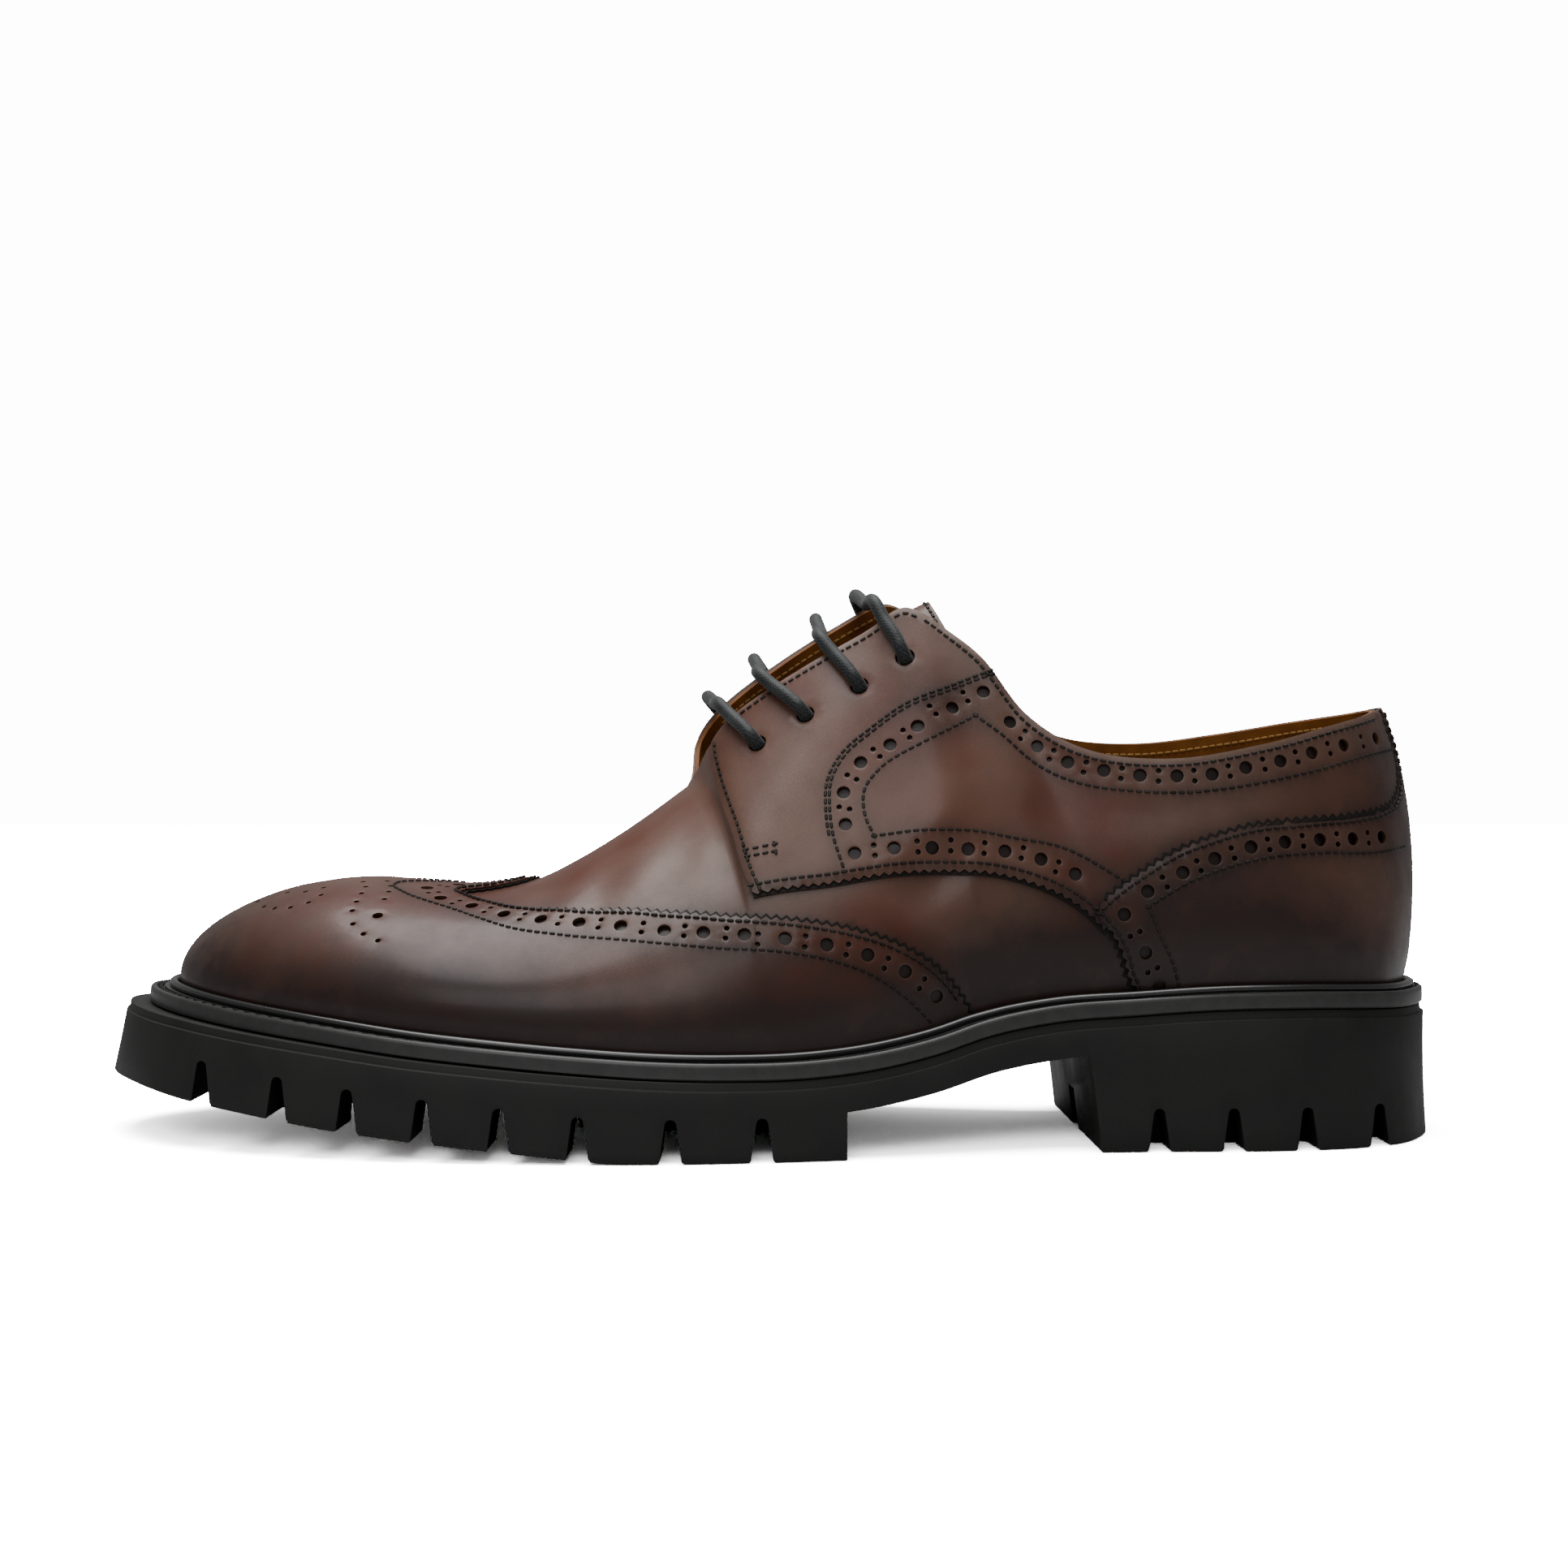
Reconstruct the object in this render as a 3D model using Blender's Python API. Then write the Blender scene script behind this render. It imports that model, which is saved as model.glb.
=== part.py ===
# Lug-sole wing-cap derby, a left shoe standing empty on its sole.
# Metres, +Z up, toe towards -X, outer side of the foot towards -Y.

import math

import bmesh
import bpy
import numpy as np

# Last, the form under the upper
LAST_LENGTH = 0.290     # along the feather, toe to heel
BALL_WIDTH = 0.0955     # across the feather at the ball
HEEL_WIDTH = 0.0654     # across the feather at the heel
TOE_HEIGHT = 0.0305     # toe box above the seat of the sole
INSTEP_HEIGHT = 0.1010  # top of the facings above the seat
COLLAR_HEIGHT = 0.0690  # back of the collar above the seat

# Sole
SOLE_THICKNESS = 0.0172  # floor to seat under the ball
TOE_LIFT = 0.0120        # rise of the seat at the toe
HEEL_LIFT = 0.0140       # rise of the seat at the heel
TOE_SPRING = 0.0140      # rise of the tread at the toe
WAIST_THICKNESS = 0.0078
HEEL_LENGTH = 0.0843
HEEL_SKEW = 0.0042       # half of the breast's lead on the inner side
TREAD_LENGTH = 0.1750    # toe tip to the rear edge of the forefoot tread
LUG_HEIGHT = 0.0095
LUG_DEPTH = 0.0165       # how far a lug reaches in from the side
NOTCH_MOUTH = 0.0048
NOTCH_ROOT = 0.0026
HEEL_NOTCH_DEPTH = 0.0130
RECESS_HEIGHT = 0.0075
CENTRE_LUG_LENGTH = 0.0105
CENTRE_LUG_WIDTH = 0.0180
CHANNEL_WIDTH = 0.0090
SIDE_STEP = 0.0010       # ledge under the top edge of the sole

# Sole edge, measured out from the feather
TOE_REACH = 0.0173
HEEL_REACH = 0.0067
RIM_REACH = 0.0084
SHOULDER = 0.0055
FLARE = 0.0034
INNER_EDGE = 0.93        # inner side's reach as a share of the outer side's

# Welt
WELT_THICKNESS = 0.0038
BEAD_HEIGHT = 0.0016
BEAD_WIDTH = 0.0020

# Leather
WALL = 0.0015
OVERLAY = 0.0012
TONGUE_THICKNESS = 0.0018
INSOLE_THICKNESS = 0.0028
GAP = 0.0003

# Lacing
EYELET_INSET = 0.0128
EYELET_DIAMETER = 0.0050
LACE_DIAMETER = 0.0034
LACE_CLEARANCE = 0.0005
LACE_ARCH = 0.0001

FRONT_X = TOE_REACH - (TOE_REACH + LAST_LENGTH + HEEL_REACH) / 2
BEAD_CLEARANCE = OVERLAY + 2 * GAP
FEATHER_RISE = GAP + WELT_THICKNESS + BEAD_HEIGHT
SKIRT = 0.06  # share of the column that hides behind the bead

# Feather line, a row for each section: place along the last, the width that
# the row follows, then outer and inner half as shares of it
FEATHER_COLUMNS = ("along", "width", "outer", "inner")
FEATHER = (
    (0.000, BALL_WIDTH, -0.063, 0.063),
    (0.005, BALL_WIDTH, 0.021, 0.136),
    (0.018, BALL_WIDTH, 0.105, 0.209),
    (0.040, BALL_WIDTH, 0.190, 0.284),
    (0.078, BALL_WIDTH, 0.281, 0.364),
    (0.130, BALL_WIDTH, 0.366, 0.428),
    (0.192, BALL_WIDTH, 0.432, 0.473),
    (0.254, BALL_WIDTH, 0.477, 0.494),
    (0.316, BALL_WIDTH, 0.503, 0.496),
    (0.375, BALL_WIDTH, 0.510, 0.480),
    (0.430, BALL_WIDTH, 0.503, 0.450),
    (0.471, BALL_WIDTH, 0.485, 0.414),
    (0.502, BALL_WIDTH, 0.466, 0.383),
    (0.537, BALL_WIDTH, 0.443, 0.354),
    (0.578, BALL_WIDTH, 0.415, 0.328),
    (0.620, BALL_WIDTH, 0.388, 0.314),
    (0.640, BALL_WIDTH, 0.376, 0.310),
    (0.658, BALL_WIDTH, 0.369, 0.309),
    (0.678, HEEL_WIDTH, 0.529, 0.453),
    (0.706, HEEL_WIDTH, 0.520, 0.459),
    (0.740, HEEL_WIDTH, 0.514, 0.468),
    (0.785, HEEL_WIDTH, 0.509, 0.483),
    (0.837, HEEL_WIDTH, 0.505, 0.495),
    (0.889, HEEL_WIDTH, 0.486, 0.483),
    (0.937, HEEL_WIDTH, 0.425, 0.425),
    (0.975, HEEL_WIDTH, 0.298, 0.298),
    (1.000, HEEL_WIDTH, 0.000, 0.000),
)

# Ridge, facing edge and topline of the same sections: place along the last,
# half width, the height that the row follows and its share of it
TOP_COLUMNS = ("along", "width", "across", "height", "rise")
RIDGE = (
    (0.096, BALL_WIDTH, -0.063, TOE_HEIGHT, 0.995),
    (0.098, BALL_WIDTH, -0.062, TOE_HEIGHT, 1.002),
    (0.104, BALL_WIDTH, -0.060, TOE_HEIGHT, 1.018),
    (0.116, BALL_WIDTH, -0.058, TOE_HEIGHT, 1.050),
    (0.137, BALL_WIDTH, -0.055, TOE_HEIGHT, 1.098),
    (0.166, BALL_WIDTH, -0.052, TOE_HEIGHT, 1.138),
    (0.204, BALL_WIDTH, -0.049, TOE_HEIGHT, 1.150),
    (0.246, BALL_WIDTH, -0.046, TOE_HEIGHT, 1.172),
    (0.289, BALL_WIDTH, -0.042, TOE_HEIGHT, 1.272),
    (0.330, BALL_WIDTH, -0.037, INSTEP_HEIGHT, 0.450),
    (0.375, BALL_WIDTH, -0.031, INSTEP_HEIGHT, 0.540),
    (0.416, BALL_WIDTH, -0.021, INSTEP_HEIGHT, 0.631),
)
OUTER_TOP = RIDGE + (
    (0.437, BALL_WIDTH, 0.090, INSTEP_HEIGHT, 0.733),
    (0.466, BALL_WIDTH, 0.110, INSTEP_HEIGHT, 0.815),
    (0.516, BALL_WIDTH, 0.126, INSTEP_HEIGHT, 0.906),
    (0.564, BALL_WIDTH, 0.136, INSTEP_HEIGHT, 0.971),
    (0.587, BALL_WIDTH, 0.141, INSTEP_HEIGHT, 1.007),
    (0.601, BALL_WIDTH, 0.147, INSTEP_HEIGHT, 0.998),
    (0.623, BALL_WIDTH, 0.162, INSTEP_HEIGHT, 0.941),
    (0.654, BALL_WIDTH, 0.199, INSTEP_HEIGHT, 0.840),
    (0.689, HEEL_WIDTH, 0.360, INSTEP_HEIGHT, 0.688),
    (0.737, HEEL_WIDTH, 0.421, COLLAR_HEIGHT, 0.867),
    (0.802, HEEL_WIDTH, 0.443, COLLAR_HEIGHT, 0.824),
    (0.871, HEEL_WIDTH, 0.417, COLLAR_HEIGHT, 0.861),
    (0.927, HEEL_WIDTH, 0.333, COLLAR_HEIGHT, 0.925),
    (0.963, HEEL_WIDTH, 0.196, COLLAR_HEIGHT, 0.970),
    (0.983, HEEL_WIDTH, 0.000, COLLAR_HEIGHT, 1.000),
)
INNER_TOP = RIDGE + (
    (0.423, BALL_WIDTH, 0.105, INSTEP_HEIGHT, 0.741),
    (0.451, BALL_WIDTH, 0.115, INSTEP_HEIGHT, 0.838),
    (0.501, BALL_WIDTH, 0.125, INSTEP_HEIGHT, 0.945),
    (0.551, BALL_WIDTH, 0.131, INSTEP_HEIGHT, 1.023),
    (0.573, BALL_WIDTH, 0.136, INSTEP_HEIGHT, 1.047),
    (0.590, BALL_WIDTH, 0.141, INSTEP_HEIGHT, 1.037),
    (0.616, BALL_WIDTH, 0.162, INSTEP_HEIGHT, 0.977),
    (0.649, BALL_WIDTH, 0.199, INSTEP_HEIGHT, 0.874),
    (0.687, HEEL_WIDTH, 0.352, INSTEP_HEIGHT, 0.723),
    (0.737, HEEL_WIDTH, 0.405, COLLAR_HEIGHT, 0.928),
    (0.802, HEEL_WIDTH, 0.428, COLLAR_HEIGHT, 0.889),
    (0.871, HEEL_WIDTH, 0.410, COLLAR_HEIGHT, 0.913),
    (0.927, HEEL_WIDTH, 0.333, COLLAR_HEIGHT, 0.954),
    (0.963, HEEL_WIDTH, 0.196, COLLAR_HEIGHT, 0.982),
    (0.983, HEEL_WIDTH, 0.000, COLLAR_HEIGHT, 1.000),
)

# Fullness of the same sections, as shares of their height and of their spread:
# swell and rise of the lower handle, then pull, swell and drop of the upper one
FULLNESS_COLUMNS = ("swell", "rise", "pull", "top_swell", "drop")
FULLNESS = (
    (0.03, 0.50, 0.47, 0.00, 0.00),
    (0.04, 0.50, 0.47, 0.00, 0.00),
    (0.05, 0.51, 0.48, 0.00, 0.00),
    (0.07, 0.52, 0.50, 0.00, 0.00),
    (0.09, 0.54, 0.52, 0.00, 0.00),
    (0.10, 0.54, 0.54, 0.00, 0.00),
    (0.11, 0.53, 0.55, 0.00, 0.00),
    (0.11, 0.52, 0.55, 0.00, 0.00),
    (0.11, 0.50, 0.54, 0.00, 0.00),
    (0.10, 0.47, 0.52, 0.00, 0.00),
    (0.08, 0.44, 0.49, 0.00, 0.00),
    (0.07, 0.42, 0.46, 0.00, 0.00),
    (0.06, 0.42, 0.42, 0.00, 0.17),
    (0.06, 0.42, 0.42, 0.00, 0.18),
    (0.06, 0.42, 0.42, 0.00, 0.18),
    (0.06, 0.42, 0.42, 0.00, 0.19),
    (0.06, 0.42, 0.42, 0.00, 0.20),
    (0.06, 0.42, 0.41, 0.00, 0.21),
    (0.06, 0.41, 0.36, 0.01, 0.23),
    (0.06, 0.39, 0.28, 0.02, 0.25),
    (0.06, 0.37, 0.18, 0.02, 0.28),
    (0.07, 0.35, 0.10, 0.03, 0.31),
    (0.07, 0.33, 0.05, 0.04, 0.33),
    (0.07, 0.32, 0.03, 0.05, 0.34),
    (0.06, 0.30, 0.02, 0.07, 0.35),
    (0.06, 0.28, 0.01, 0.09, 0.36),
    (0.06, 0.26, 0.00, 0.11, 0.36),
)
LAST_SECTION = len(FEATHER) - 1
THROAT = len(RIDGE)          # section that carries the front edge of the facings
LOOP = 2 * LAST_SECTION

# Seat line of the sole: place along the last, shares of toe and heel lift
SEAT_COLUMNS = ("along", "toe", "heel")
SEAT = (
    (-0.070, 1.17, 0.00),
    (-0.004, 1.00, 0.00),
    (0.068, 0.79, 0.00),
    (0.141, 0.59, 0.00),
    (0.207, 0.40, 0.00),
    (0.271, 0.26, 0.00),
    (0.333, 0.14, 0.00),
    (0.396, 0.04, 0.00),
    (0.456, 0.00, 0.00),
    (0.516, 0.00, 0.02),
    (0.566, 0.00, 0.13),
    (0.611, 0.00, 0.33),
    (0.654, 0.00, 0.61),
    (0.706, 0.00, 0.81),
    (0.768, 0.00, 0.90),
    (0.830, 0.00, 0.98),
    (0.895, 0.00, 1.00),
    (1.002, 0.00, 0.94),
    (1.030, 0.00, 0.93),
)

# Tread line: place along the last, share of the toe spring
TREAD_COLUMNS = ("along", "spring")
TREAD = (
    (-0.070, 1.05),
    (-0.036, 1.00),
    (0.030, 0.785),
    (0.099, 0.600),
    (0.147, 0.464),
    (0.206, 0.330),
    (0.268, 0.200),
    (0.320, 0.100),
    (0.347, 0.040),
    (0.371, 0.000),
)

# Sole edge: section, rim, shoulder and flare as shares of their named sizes
EDGE_COLUMNS = ("section", "rim", "shoulder", "flare")
EDGE = (
    (0, 1.00, 1.00, 1.00),
    (2, 0.96, 0.95, 0.94),
    (4, 0.91, 0.80, 0.65),
    (6, 0.87, 0.55, 0.35),
    (8, 0.82, 0.30, 0.12),
    (10, 0.86, 0.16, 0.10),
    (12, 0.97, 0.09, 0.09),
    (15, 1.00, 0.06, 0.06),
    (18, 0.90, 0.05, 0.06),
    (21, 0.67, 0.04, 0.12),
    (24, 0.64, 0.04, 0.20),
    (26, 0.69, 0.04, 0.20),
)

# Notches between the lugs: places along the last, and along the heel
TREAD_NOTCHES = (0.047, 0.112, 0.168, 0.226, 0.284, 0.343, 0.412, 0.480)
HEEL_NOTCHES = (0.178, 0.376, 0.575, 0.784)

# Panel edges: section and share up its column
WING_EDGE = (
    (0.0, 0.80),
    (6.5, 0.80),
    (7.0, 0.76),
    (8.0, 0.58),
    (9.0, 0.49),
    (10.0, 0.42),
    (11.0, 0.36),
    (12.0, 0.31),
    (13.0, 0.28),
    (14.0, 0.21),
    (15.0, 0.11),
    (15.5, 0.06),
    (16.05, -0.06),
)
WING_PEAK = (
    (0.0, 0.80),
    (6.5, 0.80),
    (7.0, 0.90),
    (8.0, 1.00),
)
QUARTER_EDGE = (
    (12.0, 0.42),
    (13.0, 0.385),
    (14.0, 0.35),
    (15.0, 0.32),
    (17.0, 0.29),
    (19.0, 0.29),
    (20.45, 0.28),
)
COUNTER_TOP = (
    (20.45, 0.28),
    (21.0, 0.44),
    (22.0, 0.61),
    (23.0, 0.67),
    (24.0, 0.665),
    (25.0, 0.68),
    (26.0, 0.69),
)
WING_TAIL = (15.5, 16.05)
COUNTER_FRONT = 20.45
QUARTER_BACK = 25.55
BACK_STRIP = 25.6
SEAM_SHARE = 0.012

COLUMN_ROWS = (-0.06, 0.0, 0.08, 0.18, 0.30, 0.42, 0.54, 0.66, 0.78, 0.90, 1.0)
HALF_SECTIONS = (4.5, 5.5, 6.5, 7.5, 20.45, 21.5, 24.5, 25.3, 25.55, 25.6)

# Middle line of the tongue for sections of its sides: place along the last, rise as a
# share of the facings' height and spread of the arch as a share of the tongue's width
TONGUE_COLUMNS = ("section", "along", "rise", "arch")
TONGUE_MIDDLE = (
    (10.0, 0.381, 0.505, 0.10),
    (10.5, 0.401, 0.549, 0.12),
    (11.0, 0.422, 0.586, 0.12),
    (11.5, 0.428, 0.622, 0.22),
    (12.0, 0.434, 0.668, 0.38),
    (13.0, 0.462, 0.785, 0.58),
    (14.0, 0.512, 0.887, 0.62),
    (15.0, 0.561, 0.953, 0.63),
    (16.0, 0.583, 0.985, 0.64),
    (17.0, 0.593, 1.005, 0.64),
    (18.0, 0.603, 1.015, 0.64),
    (19.6, 0.615, 1.022, 0.64),
)
TONGUE_EDGE = 0.76  # share of the column at which it leaves the quarters
TONGUE_ACROSS = 10
TONGUE_ROWS = (10.0, 10.5, 11.0, 11.4, 11.8, 12.3, 13.0, 14.0, 15.0, 16.0, 17.2, 18.4, 19.6)
TONGUE_CLEARANCE = 0.0029

# Eyelets by section, with the sections from each to its lace's crossing of the facing's edge.
# Lace over one eyelet: height as a share of its lift, reach towards the edge in bends,
# then height and reach over the facing's edge as shares of the lift
EYELET_COLUMNS = ("section", "outer", "inner")
EYELETS = (
    (13.04, -0.35, 0.28),
    (13.81, -0.35, 0.20),
    (14.66, -0.30, 0.12),
    (15.96, -0.45, 0.50),
)
LACE_CLIMB = ((0.45, 0.0), (0.90, 0.45), (1.0, 1.3))
LACE_CREST = ((1.0, -0.4), (0.95, 0.5))
LACE_BEND = 0.9            # of the lace's diameter
LACE_ROOT = 0.6            # of the wall, below its outer face

# Shares and counts of the sole's shapes
SIDE_FADE = 6.0      # sections over which the inner side draws in
LEDGE = 0.6          # ledge under the top edge as a share of the step
BEAD_ROUND = 0.8     # height of the bead's outer corner as a share of the bead
CHANNEL_STOP = 0.26  # solid rear end of the heel's channel
NOTCH_STEPS = 4
TREAD_STEPS = 14
WAIST_STEPS = 9
RECESS_STEPS = 12
EYELET_SIDES = 12
LACE_STEPS = 18


def column(rows, names, name):
    return np.array([row[names.index(name)] for row in rows], float)


def smooth(xs, ys, x):
    """Cubic curve through the rows of a table, level with the rows beside each."""
    xs, ys, x = np.asarray(xs, float), np.asarray(ys, float), np.asarray(x, float)
    slopes = np.gradient(ys, xs)
    i = np.clip(np.searchsorted(xs, x, side="right") - 1, 0, len(xs) - 2)
    width = xs[i + 1] - xs[i]
    f = np.clip((x - xs[i]) / width, 0.0, 1.0)
    return (
        ys[i] * (1 + 2 * f) * (1 - f) ** 2
        + ys[i + 1] * f * f * (3 - 2 * f)
        + slopes[i] * width * f * (1 - f) ** 2
        - slopes[i + 1] * width * f * f * (1 - f)
    )


def share(x):
    return (x - FRONT_X) / LAST_LENGTH


def seat_height(x):
    along = column(SEAT, SEAT_COLUMNS, "along")
    toe = smooth(along, column(SEAT, SEAT_COLUMNS, "toe"), share(x))
    heel = smooth(along, column(SEAT, SEAT_COLUMNS, "heel"), share(x))
    return SOLE_THICKNESS + toe * TOE_LIFT + heel * HEEL_LIFT


def tread_height(x):
    along = column(TREAD, TREAD_COLUMNS, "along")
    return TOE_SPRING * smooth(along, column(TREAD, TREAD_COLUMNS, "spring"), share(x))


def side_net(inner):
    """Four control points for each section of one side: feather, two handles, top."""
    hand = 1 if inner else -1
    side = "inner" if inner else "outer"
    top = INNER_TOP if inner else OUTER_TOP
    x = FRONT_X + LAST_LENGTH * column(FEATHER, FEATHER_COLUMNS, "along")
    y = hand * column(FEATHER, FEATHER_COLUMNS, "width") * column(FEATHER, FEATHER_COLUMNS, side)
    feather = np.stack([x, y, seat_height(x) + FEATHER_RISE], 1)
    # The ridge lies towards the inner side on both halves
    ridge_hand = np.where(np.arange(len(top)) < THROAT, -1, hand)
    x = FRONT_X + LAST_LENGTH * column(top, TOP_COLUMNS, "along")
    y = ridge_hand * column(top, TOP_COLUMNS, "width") * column(top, TOP_COLUMNS, "across")
    rise = column(top, TOP_COLUMNS, "height") * column(top, TOP_COLUMNS, "rise")
    edge = np.stack([x, y, seat_height(x) + rise], 1)
    return feather, edge


def outward(points):
    """Level unit normals of a closed outline that runs along the outer side first."""
    ahead = np.roll(points, -1, 0) - np.roll(points, 1, 0)
    normal = np.stack([ahead[:, 1], -ahead[:, 0], np.zeros(len(points))], 1)
    return normal / np.linalg.norm(normal, axis=1)[:, None]


def control_net():
    """The last as a closed loop of sections, out along the outer side and back along the inner."""
    outer_feather, outer_edge = side_net(False)
    inner_feather, inner_edge = side_net(True)
    feather = np.concatenate([outer_feather, inner_feather[-2:0:-1]])
    edge = np.concatenate([outer_edge, inner_edge[-2:0:-1]])
    section = np.concatenate([np.arange(LAST_SECTION + 1), np.arange(LAST_SECTION - 1, 0, -1)])
    shares = [column(FULLNESS, FULLNESS_COLUMNS, name)[section][:, None] for name in FULLNESS_COLUMNS]
    swell, rise, pull, top_swell, drop = shares
    out = outward(feather)
    height = (edge - feather)[:, 2:]
    closed = (section < THROAT)[:, None]
    up = np.array([0.0, 0.0, 1.0])
    lean = np.where(closed, 0.0, 1.0) * (edge - feather) * np.array([1.0, 0.0, 0.0])
    low = feather + out * swell * height + up * rise * height + lean * rise
    back = (feather - edge) * np.array([1.0, 1.0, 0.0])
    straight = back * np.array([0.0, 1.0, 0.0])
    high = edge + np.where(closed, back, straight) * pull + out * top_swell * height
    high = high - up * drop * height - lean * drop
    # Across the closed ridge the sections meet level, so each handle follows the ridge's slope
    ridge = outer_edge[:THROAT]
    slope = np.gradient(ridge[:, 2], ridge[:, 0])
    climb = np.where(closed[:, 0], slope[np.clip(section, 0, THROAT - 1)], 0.0)[:, None]
    high = high + up * climb * (high - edge)[:, :1] * np.where(closed, 1.0, 0.0)
    return np.stack([feather, low, high, edge], 1)


NET = control_net()


def net_at(section):
    """Control points between sections, by a closed smooth curve through the loop."""
    section = np.asarray(section, float) % LOOP
    i = np.floor(section).astype(int)
    f = (section - i)[..., None, None]
    before, here = NET[(i - 1) % LOOP], NET[i % LOOP]
    after, beyond = NET[(i + 1) % LOOP], NET[(i + 2) % LOOP]
    return here + 0.5 * f * (
        after
        - before
        + f * (2 * before - 5 * here + 4 * after - beyond + f * (3 * (here - after) + beyond - before))
    )


def last_point(section, up):
    """A point of the last, from a section and a share of its column; below zero it drops to the seat."""
    points = net_at(section)
    t = np.clip(np.asarray(up, float), 0.0, 1.0)[..., None]
    place = (
        points[..., 0, :] * (1 - t) ** 3
        + points[..., 1, :] * 3 * t * (1 - t) ** 2
        + points[..., 2, :] * 3 * t * t * (1 - t)
        + points[..., 3, :] * t**3
    )
    sink = np.clip(-np.asarray(up, float) / SKIRT, 0.0, 1.0)
    place[..., 2] -= sink * (FEATHER_RISE - GAP)
    return place


def last_normal(section, up):
    step = 0.02
    up = np.clip(np.asarray(up, float), 0.0, 0.97)
    along = last_point(section + step, up) - last_point(section - step, up)
    rise = last_point(section, up + step) - last_point(section, up)
    normal = np.cross(along, rise)
    return normal / np.linalg.norm(normal, axis=-1)[..., None]


def new_object(name, vertices, faces, colour, roughness, metallic=0.0):
    mesh = bpy.data.meshes.new(name)
    mesh.from_pydata([tuple(map(float, v)) for v in vertices], [], faces)
    made = bpy.data.objects.new(name, mesh)
    bpy.context.scene.collection.objects.link(made)
    material = bpy.data.materials.new(name)
    material.use_nodes = True
    shader = material.node_tree.nodes["Principled BSDF"]
    shader.inputs["Base Color"].default_value = (*colour, 1.0)
    shader.inputs["Roughness"].default_value = roughness
    shader.inputs["Metallic"].default_value = metallic
    mesh.materials.append(material)
    return made


def smooth_faces(made, angle=40.0):
    made.data.shade_smooth()
    made.data.set_sharp_from_angle(angle=math.radians(angle))


def helper(name, vertices, faces):
    made = new_object(name, vertices, faces, (0.5, 0.5, 0.5), 0.5)
    made.hide_render = True
    made.display_type = "WIRE"
    return made


def boolean(made, other, operation, solver="EXACT"):
    cut = made.modifiers.new(other.name, "BOOLEAN")
    cut.operation = operation
    cut.solver = solver
    cut.object = other


def thicken(made, thickness, offset):
    wall = made.modifiers.new("wall", "SOLIDIFY")
    wall.thickness = thickness
    wall.offset = offset
    wall.use_even_offset = True
    wall.thickness_clamp = 1.0


def table_curve(rows, sections):
    return np.interp(sections, [row[0] for row in rows], [row[1] for row in rows])


def sections_between(first, last):
    whole = [float(k) for k in range(LAST_SECTION + 1)]
    return [k for k in sorted(whole + list(HALF_SECTIONS)) if first <= k <= last]


class Sheet:
    """A sheet over the last, built from bands of cells that share their corners."""

    def __init__(self, lift):
        self.lift = lift
        self.index = {}
        self.vertices = []
        self.faces = []

    def vertex(self, section, up):
        up = round(float(up), 5)
        section = round(float(section) % LOOP, 5)
        if up >= 1.0 and LOOP - section < THROAT - 0.5:
            section = LOOP - section
        key = (section, up)
        if key not in self.index:
            place = last_point(section, up) + self.lift * last_normal(section, up)
            self.index[key] = len(self.vertices)
            self.vertices.append(place)
        return self.index[key]

    def band(self, sections, low, high, inner):
        loop = [LOOP - k for k in reversed(sections)] if inner else list(sections)
        low = list(reversed(low)) if inner else list(low)
        high = list(reversed(high)) if inner else list(high)
        for i in range(len(loop) - 1):
            for j in range(len(COLUMN_ROWS) - 1):
                corners = []
                for step, row in ((i, j), (i + 1, j), (i + 1, j + 1), (i, j + 1)):
                    up = min(max(COLUMN_ROWS[row], low[step]), high[step])
                    corner = self.vertex(loop[step], up)
                    if corner not in corners:
                        corners.append(corner)
                if len(corners) > 2:
                    self.faces.append(corners)


def full(sections, value):
    return [value] * len(sections)


LEATHER = (0.105, 0.050, 0.032)
BLACK_RUBBER = (0.014, 0.014, 0.013)


def build_upper():
    sheet = Sheet(0.0)
    sections = sections_between(0, LAST_SECTION)
    for inner in (False, True):
        sheet.band(sections, full(sections, -SKIRT), full(sections, 1.0), inner)
    made = new_object("upper", sheet.vertices, sheet.faces, LEATHER, 0.38)
    thicken(made, WALL, -1.0)
    smooth_faces(made)
    return made


def build_wing_cap():
    sheet = Sheet(GAP)
    sections = sections_between(0, 15) + list(WING_TAIL)
    peak = sections_between(0, 8)
    for inner in (False, True):
        sheet.band(sections, full(sections, -SKIRT), table_curve(WING_EDGE, sections), inner)
        sheet.band(peak, table_curve(WING_PEAK, peak), full(peak, 1.0), inner)
    made = new_object("wing_cap", sheet.vertices, sheet.faces, LEATHER, 0.36)
    thicken(made, OVERLAY, 1.0)
    smooth_faces(made)


def build_quarter(name, inner):
    sheet = Sheet(GAP)
    sections = sections_between(THROAT, QUARTER_BACK)
    rows = QUARTER_EDGE + COUNTER_TOP[1:]
    low = np.minimum(table_curve(rows, sections) + SEAM_SHARE, 1.0)
    sheet.band(sections, low, full(sections, 1.0), inner)
    made = new_object(name, sheet.vertices, sheet.faces, LEATHER, 0.36)
    thicken(made, OVERLAY, 1.0)
    smooth_faces(made)
    return made


def build_counter():
    sheet = Sheet(GAP)
    sections = sections_between(COUNTER_FRONT, LAST_SECTION)
    strip = sections_between(BACK_STRIP, LAST_SECTION)
    for inner in (False, True):
        sheet.band(sections, full(sections, -SKIRT), table_curve(COUNTER_TOP, sections), inner)
        sheet.band(strip, table_curve(COUNTER_TOP, strip), full(strip, 1.0), inner)
    made = new_object("counter", sheet.vertices, sheet.faces, LEATHER, 0.36)
    thicken(made, OVERLAY, 1.0)
    smooth_faces(made)


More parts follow.
